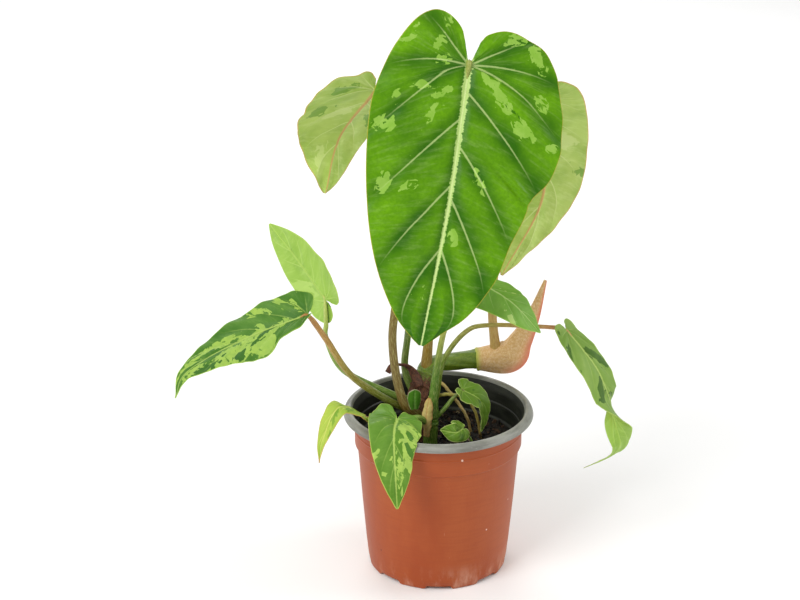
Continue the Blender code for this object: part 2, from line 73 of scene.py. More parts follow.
# Camera: in front of the pot and a little above it, looking 21 degrees down
CAMERA_PLACE = (-0.0243, -1.107, 0.611)
CAMERA_TILT = 90 - 21.3
CAMERA_LENS = 86.4

# Studio
FLOOR_HALF = 6.0
SKY_STRENGTH = 0.62

# Pot, as in the CAD
POT_RIM_RADIUS = 0.060
POT_HEIGHT = 0.1075
POT_FOOT_RADIUS = 0.0439
POT_SHOULDER_RADIUS = 0.0513
POT_COLLAR_RADIUS = 0.0530
POT_COLLAR_HEIGHT = 0.083
POT_RIDGE_HEIGHT = 0.094
POT_LIP_RADIUS = 0.0570
POT_LIP_HEIGHT = 0.1022
POT_WALL = 0.0010
POT_STEP = 0.0008              # size of the rim's and the collar's small steps
WALL_HEIGHTS = (0.0, 0.006, 0.018, 0.044, 0.065)
POT_TAPER = 0.8
ROUNDING = 0.0006              # radius of the pot's rounded corners
CORNER_POINTS = 5
FOOT_BAND = 0.0045             # height over which the foot's notches fade out
WALL_WOBBLE = 0.0022           # how far the thin wall is out of round, as a share
POT_FLOOR_HEIGHT = 0.0032
POT_PAD_RADIUS = 0.016
POT_STEPS = 256
FOOT_RING_WIDTH = 0.0035
FOOT_NOTCHES = 8
FOOT_NOTCH = (0.0160, 0.0022)
DRAIN_HOLES = 8
DRAIN_RADIUS = 0.0035
DRAIN_CIRCLE = 0.029
SOIL_TOP = 0.083
SOIL_BOTTOM = 0.0048
SOIL_LUMP = 0.0011

# Half of a blade's outline from the stalk to the tip: (across, along) as shares of half width and length.
# The first points go behind the stalk, round the basal lobe.
HEART = ((0.10, -0.10), (0.28, -0.17), (0.58, -0.175), (0.88, -0.06), (1.0, 0.10),
         (0.95, 0.32), (0.76, 0.58), (0.44, 0.81), (0.15, 0.95), (0.03, 1.0))
BROAD_HEART = ((0.09, -0.08), (0.15, -0.12), (0.30, -0.16), (0.48, -0.165), (0.66, -0.12),
               (0.85, -0.01), (0.97, 0.12), (1.0, 0.24), (0.95, 0.42), (0.83, 0.60), (0.64, 0.76),
               (0.37, 0.90), (0.15, 0.97), (0.03, 1.0))
NOTCHED_HEART = ((0.08, -0.08), (0.15, -0.11), (0.32, -0.13), (0.52, -0.115),
                 (0.75, -0.07), (0.91, 0.04), (0.99, 0.16), (1.0, 0.27), (0.94, 0.36), (0.79, 0.435),
                 (0.76, 0.48), (0.66, 0.60), (0.58, 0.73), (0.40, 0.86), (0.17, 0.95), (0.03, 1.0))
LANCE = ((0.12, -0.03), (0.25, -0.05), (0.6, -0.04), (0.9, 0.08), (1.0, 0.22), (0.95, 0.40),
         (0.76, 0.60), (0.46, 0.79), (0.18, 0.92), (0.05, 0.975), (0.03, 1.0))
DROOPING_LANCE = ((0.14, -0.05), (0.25, -0.07), (0.6, -0.08), (0.9, 0.03), (1.0, 0.16), (0.95, 0.36),
                  (0.76, 0.58), (0.46, 0.78), (0.18, 0.91), (0.05, 0.97), (0.03, 1.0))
BULGED_LANCE = ((0.12, -0.03), (0.35, 0.0), (0.55, 0.09), (0.74, 0.20), (0.96, 0.28),
                (1.0, 0.36), (0.88, 0.48), (0.70, 0.61), (0.46, 0.76), (0.2, 0.88), (0.05, 0.97),
                (0.03, 1.0))
SCALE_LEAF = ((0.5, 0.0), (0.8, 0.2), (1.0, 0.5), (0.8, 0.8), (0.35, 0.96), (0.05, 1.0))

# Each blade, in millimetres and degrees. midrib: where the stalk meets it, the bow on the way, and the
# tip. faces: the way its upper side looks at the stalk. half: widths of its left and right half.
# lobes: length of each basal lobe as a share of the outline's. fold: how far the halves rise from the
# midrib at the stalk and at the tip. curl: how far each half bends down towards its margin.
# twist: turn about the midrib, over twist_span of its length.
FOLD = (10, 10)
CURL = (-20, -20)
LEAST_CURL = 0.1               # keeps the bend formula away from a division by nothing
BLADES = {
    "leaf_blade_large_front": dict(
        midrib=((16, -16, 333), (4, -48, 257), (-12, -65, 176)), faces=(0.1, -1.0, 0.3),
        outlines=(NOTCHED_HEART, BROAD_HEART), half=(60, 54)),
    "leaf_blade_back_left": dict(
        midrib=((-39, 39, 303), (-63, 67, 264), (-72, 60, 229)), faces=(-0.5, 0.8, 0.4),
        half=(42, 34)),
    "leaf_blade_back_right": dict(
        midrib=((57, 31, 297), (68, 70, 226), (42, 66, 171)), faces=(0.0, 1.0, 0.0), half=(36, 32),
        lobes=(0.9, 0.5), twist=-15),
    "leaf_blade_left_upper": dict(
        midrib=((-71, 22, 171), (-90, 50, 188), (-109, 73, 204)), faces=(0.7, 0.7, 0.0),
        half=(17, 19), lobes=(0.8, 0.8), curl=(-30, -20), twist=30),
    "leaf_blade_left_long": dict(
        midrib=((-80, -31, 182), (-119, -34, 167), (-152, -48, 152), (-159, -56, 138)),
        faces=(-0.3, -0.4, 0.9), outlines=(BULGED_LANCE, DROOPING_LANCE), half=(24, 20),
        lobes=(1.0, 0.8), fold=(25, 0), curl=(-40, -15), twist=15),
    "leaf_blade_right_small": dict(
        midrib=((24, -9, 195), (44, -25, 187), (61, -26, 168)), faces=(0.1, -0.2, 1.0),
        half=(18, 18), lobes=(0.9, 1.2), fold=(-10, 5), curl=(-10, -25)),
    "leaf_blade_right_hanging": dict(
        midrib=((80, 3, 158), (100, -10, 134), (112, -10, 98), (113, -8, 80), (94, 6, 61)),
        faces=(0.6, -0.6, 0.5), outlines=(LANCE, LANCE), half=(10, 13), fold=(5, 0),
        curl=(0, -20), twist=-170, twist_span=(0.4, 0.7)),
    "leaf_blade_front_small": dict(
        midrib=((-26, -33, 114), (-28, -60, 113), (-26, -80, 76)), faces=(0.2, -0.5, 0.8),
        half=(17, 17), lobes=(0.8, 1.1), fold=(5, 0), twist=-10),
    "leaf_blade_left_small": dict(
        midrib=((-46, -34, 116), (-61, -56, 132), (-71, -60, 112), (-73, -60, 97)),
        faces=(-0.1, -0.5, 1.0), outlines=(LANCE, LANCE), half=(7, 8), fold=(5, 10),
        curl=(-30, -25)),
    "leaf_blade_inner": dict(
        midrib=((15, -3, 120), (27, -3, 111), (27, -8, 93)), faces=(0.3, -0.3, 0.9), half=(10, 12),
        lobes=(0.8, 0.8), fold=(20, 25), curl=(-30, -25)),
    "leaf_blade_sprout": dict(
        midrib=((15, -24, 103), (10, -32, 104), (1, -26, 103)), faces=(0.5, -0.3, 0.8), half=(7, 8),
        lobes=(0.8, 1.2), fold=(0, 0), curl=(-30, -25), twist=-40),
    "green_bract": dict(
        midrib=((-15, -4, 107), (-15, -6, 114), (-15, -7, 122)), faces=(0.1, -1.0, 0.2),
        outlines=(SCALE_LEAF, SCALE_LEAF), half=(5, 5), fold=(0, 0), curl=(-60, -60)),
    "shoot_sheath": dict(
        midrib=((-8, -13, 92), (-8, -14, 106), (-6, -13, 119)), faces=(-0.5, -1.0, 0.1),
        outlines=(SCALE_LEAF, SCALE_LEAF), half=(4, 4), fold=(0, 0), curl=(-70, -70)),
}

# Each tube, in millimetres: its route as far as its blade, and radii spread evenly along it.
TUBES = {
    "main_stem": dict(
        route=((-12, 6, 71), (-13, 7, 84), (-15, 11, 100), (-8, 26, 120), (0, 32, 123), (25, 45, 121)),
        radii=(6, 7, 7, 5.5, 5.5, 6)),
    "young_shoot": dict(
        route=((-5, -6, 71), (-5, -6, 86), (-4, -6, 102)), radii=(4, 4.5, 4)),
    "cataphyll": dict(
        route=((25, 45, 121), (46, 46, 123), (54, 46, 134), (62, 46, 152), (69, 46, 175)),
        radii=(6.5, 10, 7, 4, 1)),
    "petiole_large_front": dict(
        route=((-8, 26, 121), (-6, 26, 144), (0, 24, 224), (9, 10, 286)), radii=(3, 2.5),
        blade="leaf_blade_large_front"),
    "petiole_back_left": dict(
        route=((-13, 6, 98), (-23, -1, 113), (-29, 12, 147), (-26, 30, 195), (-38, 36, 285)),
        radii=(3, 2), blade="leaf_blade_back_left"),
    "petiole_trimmed": dict(
        route=((-14, 16, 106), (-21, 24, 123), (-19, 25, 149), (-14, 26, 203)), radii=(2.5, 2)),
    "petiole_back_right": dict(
        route=((38, 45, 124), (35, 42, 163), (39, 39, 212), (46, 36, 252)), radii=(3, 2),
        blade="leaf_blade_back_right"),
    "petiole_right_small": dict(
        route=((-4, -6, 103), (-2, -6, 131), (3, -9, 162), (11, -9, 180)),
        radii=(3.5, 2, 1.5, 1.5, 1.5), blade="leaf_blade_right_small"),
    "petiole_right_hanging": dict(
        route=((-7, 1, 95), (-1, 8, 112), (3, 8, 135), (16, 6, 155), (31, 4, 161), (70, 3, 160)),
        radii=(2, 1), blade="leaf_blade_right_hanging"),
    "petiole_left_long": dict(
        route=((-15, 11, 98), (-34, -5, 115), (-55, -20, 138), (-70, -28, 166)), radii=(2.5, 1.5),
        blade="leaf_blade_left_long"),
    "petiole_left_upper": dict(
        route=((-15, 12, 105), (-31, 10, 112), (-60, 14, 126), (-71, 18, 146), (-71, 18, 156)),
        radii=(2.5, 1), blade="leaf_blade_left_upper"),
    "petiole_front_small": dict(
        route=((-6, -8, 99), (-12, -16, 106), (-19, -25, 110)), radii=(2.5, 1.5),
        blade="leaf_blade_front_small"),
    "petiole_left_small": dict(
        route=((-12, 0, 94), (-26, -14, 100), (-41, -30, 112)), radii=(1.5, 1),
        blade="leaf_blade_left_small"),
    "petiole_inner": dict(
        route=((-4, -6, 99), (5, -4, 109), (9, -3, 114)), radii=(1.5, 1), blade="leaf_blade_inner"),
    "petiole_sprout": dict(
        route=((20, -21, 80), (20, -22, 89), (20, -24, 95)), radii=(1, 0.8), blade="leaf_blade_sprout"),
    "aerial_root_arched": dict(
        route=((-6, 12, 108), (6, 10, 111), (17, 6, 110), (24, 4, 100), (28, 4, 79)), radii=(1.2, 0.8)),
    "aerial_root_straight": dict(
        route=((-4, 24, 118), (5, 19, 112), (18, 10, 96), (22, 9, 79)), radii=(1.1, 0.9)),
    "dried_cataphyll": dict(
        route=((-12, 14, 115), (-18, 18, 126), (-29, 18, 128), (-32, 15, 124)), radii=(3.5, 1.5, 1, 1.5)),
}


# ---------------------------------------------------------------- colours and node materials
def tone(red, green, blue):
    """Linear colour of an sRGB colour given as 0 to 255."""
    share = [channel / 255 for channel in (red, green, blue)]
    linear = [c / 12.92 if c <= 0.04045 else ((c + 0.055) / 1.055)**2.4 for c in share]
    return (*linear, 1.0)


class Material:
    """A node material; each method adds one node and returns its output."""

    def __init__(self, name):
        self.material = bpy.data.materials.new(name)
        self.material.use_nodes = True
        self.tree = self.material.node_tree
        self.shader = self.tree.nodes["Principled BSDF"]

    def node(self, kind, inputs, **settings):
        node = self.tree.nodes.new("ShaderNode" + kind)
        for key, value in settings.items():
            setattr(node, key, value)
        for key, value in inputs.items():
            self.feed(node.inputs[key], value)
        return node

    def feed(self, socket, value):
        if isinstance(value, bpy.types.NodeSocket):
            self.tree.links.new(value, socket)
        else:
            socket.default_value = value

    def field(self, name):
        return self.node("Attribute", {}, attribute_name=name).outputs["Fac"]

    def mapped(self, where, **settings):
        """Coordinates moved, turned or scaled."""
        inputs = {key.capitalize(): value for key, value in settings.items()}
        return self.node("Mapping", {"Vector": where, **inputs}).outputs[0]

    def vector(self, name, scale=(1, 1, 1)):
        raw = self.node("Attribute", {}, attribute_name=name).outputs["Vector"]
        return self.mapped(raw, scale=scale)

    def vein_distance(self):
        """Millimetres to the nearest side vein, from the smooth count of veins and their spacing."""
        count = self.field("vein_count")
        off = self.maths("ABSOLUTE", self.minus(count, self.maths("ROUND", count)))
        return self.times(off, self.field("vein_gap"))

    def place(self):
        return self.node("TexCoord", {}).outputs["Object"]

    def noise(self, where, scale, detail=3.0, rough=0.55):
        inputs = {"Vector": where, "Scale": scale, "Detail": detail, "Roughness": rough}
        return self.node("TexNoise", inputs).outputs[0]

    def cells(self, where, scale):
        return self.node("TexVoronoi", {"Vector": where, "Scale": scale}, feature="F1").outputs[0]

    def vein_net(self):
        """The fine net between the side veins."""
        return self.cells(self.vector("veinwise", (2.6, 1.0, 1.0)), 34.0)

    def jagged_edge(self):
        """Offset in mm that tears a patch's outline along small angular cells that follow the veins."""
        where = self.vector("veinwise", (1.7, 1.0, 1.0))
        cell = self.node("TexVoronoi", {"Vector": where, "Scale": 17.0}, feature="F1").outputs["Color"]
        value = self.node("SeparateColor", {0: cell}).outputs[0]
        soft = self.noise(self.vector("flat"), 9.0, 4.0, 0.6)
        return self.plus(self.swing(value, 3.6), self.swing(soft, 7.0))

    def maths(self, operation, a, b=0.0, clamp=False):
        return self.node("Math", {0: a, 1: b}, operation=operation, use_clamp=clamp).outputs[0]

    def plus(self, a, b, clamp=False):
        return self.maths("ADD", a, b, clamp)

    def minus(self, a, b):
        return self.maths("SUBTRACT", a, b)

    def times(self, a, b):
        return self.maths("MULTIPLY", a, b)

    def swing(self, value, size):
        """A value that varies about 0.5, as one that varies about 0 by up to half the size."""
        return self.times(self.minus(value, 0.5), size)

    def step(self, value, low, high):
        """0 below low, 1 above high, smooth between; high may be the smaller one."""
        inputs = {"Value": value, "From Min": low, "From Max": high}
        return self.node("MapRange", inputs, interpolation_type="SMOOTHSTEP").outputs[0]

    def mix(self, share, a, b):
        return self.node("Mix", {0: share, 6: a, 7: b}, data_type="RGBA").outputs[2]

    def stops(self, value, *stops):
        node = self.node("ValToRGB", {0: value})
        ramp = node.color_ramp
        while len(ramp.elements) < len(stops):
            ramp.elements.new(0.5)
        for element, (place, colour) in zip(ramp.elements, stops):
            element.position = place
            element.color = colour
        return node.outputs[0]

    def finish(self, colour, roughness, height=None, depth=0.0003, **sockets):
        self.feed(self.shader.inputs["Base Color"], colour)
        self.feed(self.shader.inputs["Roughness"], roughness)
        if height is not None:
            bump = self.node("Bump", {"Height": height, "Distance": depth, "Strength": 1.0})
            self.feed(self.shader.inputs["Normal"], bump.outputs[0])
        for key, value in sockets.items():
            self.shader.inputs[key.replace("_", " ")].default_value = value
        return self.material


def green_ground(m, deep, bright, vein, streak, fine):
    """Painted shade and light over the green: deep green along the veins and the midrib, where the quilting
    dips, and brighter green on the bulges between them, with faint streaks.
    """
    broad = m.noise(m.vector("flat"), 3.5, 2.0)
    # painted shade in the vein and midrib grooves, painted light on the quilted bulges between them
    between = m.times(m.step(m.vein_distance(), 0.0, 9.0), m.step(m.field("rib"), 0.0, 8.0))
    share = m.plus(m.times(between, 0.55), m.times(m.minus(broad, 0.42), 1.7), clamp=True)
    green = m.mix(share, deep, bright)
    green = m.mix(m.times(m.step(streak, 0.45, 0.8), 0.12), green, vein)
    return m.mix(m.times(m.step(fine, 0.62, 0.4), 0.2), green, deep)


def pale_mask(m, jagged):
    """The pale patches with the holes in them, and the loose flecks round them."""
    mask = m.step(m.plus(m.field("pale"), jagged), *PATCH_EDGE)
    near = m.times(m.step(m.field("pale"), NO_PATCH, 0.0), 0.05)
    fleck = m.noise(m.vector("veinwise", (3.2, 1.0, 1.0)), 24.0, 3.0, 0.6)
    flecks = m.step(m.plus(fleck, near), 0.735, 0.75)
    holes = m.step(m.noise(m.vector("veinwise", (2.0, 1.0, 1.0)), 15.0, 4.0, 0.6), 0.60, 0.615)
    return m.maths("MAXIMUM", m.times(mask, m.minus(1.0, holes)), flecks)


def draw_veins(m, colour, fine, pale, vein, vein_show):
    """The thin side veins and the feathered midrib, over the blade's colour."""
    width = m.plus(m.field("vein_width"), m.swing(fine, 0.5))
    thin = m.times(m.step(m.minus(m.vein_distance(), width), 0.35, -0.25), vein_show)
    colour = m.mix(m.times(thin, m.field("vein_show")), colour, vein)
    rib, rib_width = m.field("rib"), m.field("rib_width")
    feather = m.swing(m.noise(m.vector("veinwise", (12.0, 1.0, 1.0)), 12.0), 2.2)
    rib_side = m.minus(rib, m.plus(rib_width, m.times(feather, rib_width)))
    middle = m.mix(m.step(rib, 0.9, 0.1), m.mix(0.5, vein, pale), vein)
    return m.mix(m.step(rib_side, 0.5, -0.3), colour, middle)


def leaf_upper(name, deep, bright, pale, vein, margin, spot=None, gloss=0.42, vein_show=0.4):
    """Upper side of a blade: green between its veins, with pale and dark patches that have jagged edges."""
    spot = spot or deep
    m = Material(name)
    flat = m.vector("flat")
    streak = m.noise(m.vector("veinwise", (8.0, 0.7, 1.0)), 9.0, 4.0, 0.6)
    fine = m.noise(flat, 45.0, 3.0)
    jagged = m.jagged_edge()
    light = m.mix(m.step(m.noise(flat, 16.0, 4.0), 0.35, 0.65), m.mix(0.35, pale, bright), pale)
    colour = m.mix(pale_mask(m, jagged), green_ground(m, deep, bright, vein, streak, fine), light)
    dark = m.step(m.plus(m.field("dark"), jagged), *PATCH_EDGE)
    colour = m.mix(dark, colour, m.mix(m.noise(flat, 16.0, 3.0), spot, m.mix(0.3, spot, bright)))
    colour = draw_veins(m, colour, fine, pale, vein, vein_show)
    colour = m.mix(m.times(m.step(m.field("edge"), 0.55, 0.15), 0.8), colour, margin)
    height = m.plus(m.times(m.vein_net(), 0.35), m.times(streak, 0.8))
    rough = m.plus(m.times(fine, 0.16), gloss - 0.08)
    return m.finish(colour, rough, height, 0.00014, Specular_IOR_Level=0.12)


def leaf_under(name, ground, shade, vein, margin, patch):
    """Underside: pale and matt, with raised lighter veins and the patches showing through faintly."""
    m = Material(name)
    flat = m.vector("flat")
    rib, side_vein, edge = m.field("rib"), m.vein_distance(), m.field("edge")
    broad = m.noise(flat, 4.0, 3.0)
    streak = m.noise(m.vector("veinwise", (8.0, 1.0, 1.0)), 8.0, 4.0, 0.6)
    colour = m.mix(m.step(broad, 0.35, 0.68), ground, shade)
    colour = m.mix(m.times(m.step(streak, 0.45, 0.75), 0.5), colour, vein)
    torn = m.jagged_edge()
    show = m.step(m.plus(m.field("dark"), torn), -0.15, 0.3)
    colour = m.mix(m.times(show, 0.8), colour, patch)
    light = m.step(m.plus(m.field("pale"), torn), -0.15, 0.3)
    colour = m.mix(m.times(light, 0.7), colour, vein)
    thin = m.step(side_vein, m.plus(m.field("vein_width"), 0.2), 0.0)
    colour = m.mix(m.times(thin, m.field("vein_show")), colour, vein)
    colour = m.mix(m.step(m.minus(rib, m.field("rib_width")), 0.4, -0.2), colour, margin)
    colour = m.mix(m.step(edge, 0.8, 0.3), colour, margin)
    height = m.plus(m.times(m.vein_net(), 0.5), m.times(streak, 0.8))
    return m.finish(colour, m.plus(m.times(broad, 0.15), 0.42), height, 0.00018,
                    Specular_IOR_Level=0.35)


def stalk_material(name, base, middle, top):
    """A stalk's skin: one colour runs into the next along it, with long streaks and small specks."""
    m = Material(name)
    where = m.vector("tubewise")
    colour = m.stops(m.field("along"), (0.02, base), (0.30, base), (0.55, middle), (0.97, top))
    streak = m.noise(m.vector("tubewise", (3.0, 3.0, 0.25)), 3.0, 4.0, 0.6)
    colour = m.mix(m.step(streak, 0.44, 0.7), colour, m.mix(0.45, colour, tone(214, 212, 140)))
    colour = m.mix(m.step(streak, 0.46, 0.3), colour, m.mix(0.4, colour, tone(52, 62, 12)))
    speck = m.cells(where, 9.0)
    colour = m.mix(m.step(speck, 0.16, 0.05), colour, tone(112, 66, 32))
    height = m.plus(streak, m.times(m.noise(where, 14.0), 0.3))
    return m.finish(colour, m.plus(m.times(streak, 0.2), 0.28), height, 0.0003,
                    Specular_IOR_Level=0.45)


def stem_material():
    """The creeping stem: brown corky lower part, pale green young internode with rings at its end."""
    m = Material("stem")
    where = m.vector("tubewise")
    streak = m.noise(m.vector("tubewise", (3.0, 3.0, 0.5)), 2.6, 5.0, 0.65)
    cork = m.mix(m.step(streak, 0.35, 0.62), tone(50, 20, 8), tone(124, 72, 44))
    cork = m.mix(m.step(m.noise(where, 11.0, 4.0), 0.56, 0.66), cork, tone(160, 118, 84))
    young = m.mix(m.step(streak, 0.38, 0.66), tone(78, 108, 16), tone(122, 142, 34))
    young = m.mix(m.step(m.noise(where, 13.0, 3.0), 0.66, 0.74), young, tone(158, 168, 70))
    torn = m.swing(m.noise(where, 3.0, 4.0), 0.20)
    share = m.step(m.plus(m.field("along"), torn), 0.50, 0.56)
    colour = m.mix(share, cork, young)
    height = m.times(streak, m.minus(1.35, share))
    return m.finish(colour, m.minus(0.75, m.times(share, 0.35)), height, 0.0007)


def papery_material(name, ground, light, dark, keel, tip, roughness=0.5):
    """A dry sheath: fine lengthwise ribs over a mottled ground, with the keel in its own colour."""
    m = Material(name)
    where = m.vector("tubewise")
    rib = m.noise(m.vector("tubewise", (6.0, 6.0, 0.22)), 2.4, 4.0, 0.6)
    mottle = m.noise(where, 2.2, 4.0, 0.6)
    colour = m.mix(m.step(mottle, 0.36, 0.66), ground, light)
    colour = m.mix(m.times(m.step(rib, 0.5, 0.34), 0.75), colour, dark)
    colour = m.mix(m.step(m.noise(where, 16.0, 4.0, 0.7), 0.60, 0.74), colour, light)
    colour = m.mix(m.times(m.field("keel"), m.step(mottle, 0.2, 0.45)), colour, keel)
    colour = m.mix(m.field("tint"), colour, tip)
    height = m.plus(rib, m.times(mottle, 0.4))
    return m.finish(colour, m.plus(m.times(rib, 0.25), roughness - 0.1), height, 0.0005)


def terracotta_plastic():
    """Outside of the pot: thin orange-brown plastic with moulding lines, scuffs, dust and a few specks."""
    m = Material("pot_outside")
    where = m.place()
    height_up = m.node("SeparateXYZ", {0: where}).outputs[2]
    tall = m.mapped(where, scale=(1.0, 1.0, 0.35))
    flat = m.mapped(where, scale=(1.0, 1.0, 12.0))
    cloud = m.noise(tall, 28.0, 4.0, 0.6)
    colour = m.mix(m.step(cloud, 0.3, 0.7), tone(156, 68, 26), tone(168, 82, 38))
    lines = m.noise(flat, 60.0, 2.0)
    colour = m.mix(m.times(m.step(lines, 0.4, 0.7), 0.25), colour, tone(148, 66, 32))
    grime = m.step(m.noise(tall, 60.0, 6.0, 0.7), 0.45, 0.72)
    dusty = m.times(m.step(height_up, 0.020, 0.002), grime)
    colour = m.mix(m.times(dusty, 0.55), colour, tone(224, 186, 162))
    scuff = m.mapped(where, rotation=(0.0, 0.5, 0.3), scale=(9.0, 9.0, 1.0))
    scratch = m.step(m.noise(scuff, 34.0, 3.0, 0.7), 0.71, 0.78)
    colour = m.mix(m.times(scratch, 0.35), colour, tone(226, 176, 146))
    speck = m.step(m.cells(where, 95.0), 0.085, 0.045)
    colour = m.mix(m.times(speck, m.step(cloud, 0.52, 0.6)), colour, tone(236, 206, 188))
    crumb = m.step(m.cells(m.mapped(where, location=(0.3, 0.1, 0.2)), 60.0), 0.06, 0.03)
    colour = m.mix(m.times(crumb, m.step(cloud, 0.5, 0.42)), colour, tone(112, 50, 28))
    height = m.plus(m.times(lines, 0.5), m.noise(where, 700.0, 2.0))
    gloss = m.plus(m.times(cloud, 0.15), 0.38)
    gloss = m.plus(gloss, m.times(dusty, 0.25))
    return m.finish(colour, gloss, height, 0.00006, Specular_IOR_Level=0.3)


def grey_plastic(name, dark, light, dust):
    """Inside and rim of the pot: grey-black plastic, with rubbed lighter streaks and dust. It is made in two
    copies of one plastic: the rim's is painted lighter as painted light, and the inside's is painted darker
    as painted shade.
    """
    m = Material(name)
    where = m.place()
    flat = m.mapped(where, scale=(1.0, 1.0, 7.0))
    cloud = m.noise(flat, 45.0, 5.0, 0.62)
    colour = m.mix(m.step(cloud, 0.32, 0.68), dark, light)
    grit = m.step(m.noise(where, 420.0, 4.0, 0.7), 0.60, 0.72)
    colour = m.mix(m.times(grit, 0.45), colour, dust)
    height = m.plus(m.noise(where, 600.0, 2.0), cloud)
    return m.finish(colour, m.plus(m.times(cloud, 0.25), 0.30), height, 0.00008)


def soil_material():
    """Dark potting soil with brown fibres and a few lighter chips, coloured by each crumb's own shade."""
    m = Material("soil")
    where = m.place()
    crumb = m.noise(where, 260.0, 6.0, 0.7)
    colour = m.mix(m.step(crumb, 0.38, 0.66), tone(9, 7, 5), tone(38, 27, 18))
    colour = m.mix(m.step(m.field("shade"), 0.55, 0.8), colour, tone(78, 54, 34))
    colour = m.mix(m.step(m.field("shade"), 0.96, 0.99), colour, tone(150, 130, 104))
    return m.finish(colour, m.plus(m.times(crumb, 0.2), 0.72), crumb, 0.0009)


# ---------------------------------------------------------------- curves and meshes
def smooth_curve(points, samples):
    """Catmull-Rom curve through the points, sampled at even distances along it."""
    points = np.asarray(points, float)
    before = 2 * points[0] - points[1]
    after = 2 * points[-1] - points[-2]
    knots = np.vstack([before, points, after])
    t = np.linspace(0, 1, 24, endpoint=False)[:, None]
    runs = []
    for a, b, c, d in zip(knots, knots[1:], knots[2:], knots[3:]):
        runs.append(0.5 * (2 * b + (c - a) * t + (2 * a - 5 * b + 4 * c - d) * t**2
                           + (3 * b - a - 3 * c + d) * t**3))
    fine = np.vstack(runs + [points[-1:]])
    steps = np.linalg.norm(np.diff(fine, axis=0), axis=1)
    distance = np.concatenate([[0], np.cumsum(steps)])
    wanted = np.linspace(0, distance[-1], samples)
    return np.stack([np.interp(wanted, distance, fine[:, k]) for k in range(fine.shape[1])], 1)


def unit(vectors):
    """The vectors at length 1."""
    return vectors / (np.linalg.norm(vectors, axis=-1, keepdims=True) + 1e-12)


def bell(distance, width):
    """1 at no distance, falling smoothly to nothing a few widths away."""
    return np.exp(-(distance / width)**2)


def smoothstep(value, low, high):
    """0 below low, 1 above high, smooth between; high may be the smaller one."""
    t = np.clip((value - low) / (high - low), 0, 1)
    return t * t * (3 - 2 * t)


def wobble(points, size, seed):
    """Smooth pseudo-random field, about -1 to 1, whose lumps are about size metres across."""
    directions = np.random.default_rng(seed).normal(size=(7, 3))
    phases = np.random.default_rng(seed + 1).uniform(0, 6.28, 7)
    waves = [np.sin(points @ (unit(d) * (1 + 0.35 * k) * 3.1 / size) + p)
             for k, (d, p) in enumerate(zip(directions, phases))]
    return np.sum(waves, axis=0) / 3.2


def build(name, points, faces, materials, kinds=None, fields=None, vectors=None, smooth=True):
    """A mesh object from points and faces, with its values at each point stored as attributes."""
    mesh = bpy.data.meshes.new(name)
    mesh.from_pydata(np.asarray(points).reshape(-1, 3).tolist(), [], faces)
    for material in materials:
        mesh.materials.append(material)
    if kinds is not None:
        mesh.polygons.foreach_set("material_index", np.asarray(kinds, np.int32))
    for key, values in (fields or {}).items():
        layer = mesh.attributes.new(key, "FLOAT", "POINT")
        layer.data.foreach_set("value", np.asarray(values, np.float32).ravel())
    for key, values in (vectors or {}).items():
        layer = mesh.attributes.new(key, "FLOAT_VECTOR", "POINT")
        layer.data.foreach_set("vector", np.asarray(values, np.float32).ravel())
    mesh.polygons.foreach_set("use_smooth", [smooth] * len(mesh.polygons))
    mesh.update()
    piece = bpy.data.objects.new(name, mesh)
    bpy.context.scene.collection.objects.link(piece)
    return piece


def stand_for(piece, node):
    """The piece takes the CAD node's place."""
    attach(piece, BODY)
    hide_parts(node)
    return piece


# ---------------------------------------------------------------- pot and soil
def wall_radius(height):
    """Radius of the pot's tapered outer wall at a height below the collar."""
    share = (height / POT_COLLAR_HEIGHT) ** POT_TAPER
    return POT_FOOT_RADIUS + (POT_SHOULDER_RADIUS - POT_FOOT_RADIUS) * share


def rounded(profile, radius):
    """The profile with each corner replaced by a short arc."""
    profile = np.array(profile)
    path = [profile[0]]
    for a, b, c in zip(profile, profile[1:], profile[2:]):
        cut_in = min(radius, 0.42 * np.linalg.norm(b - a), 0.42 * np.linalg.norm(c - b))
        start, end = b + unit(a - b) * cut_in, b + unit(c - b) * cut_in
        for t in np.linspace(0, 1, CORNER_POINTS):
            path.append((1 - t)**2 * start + 2 * t * (1 - t) * b + t * t * end)
    path.append(profile[-1])
    return np.array(path)


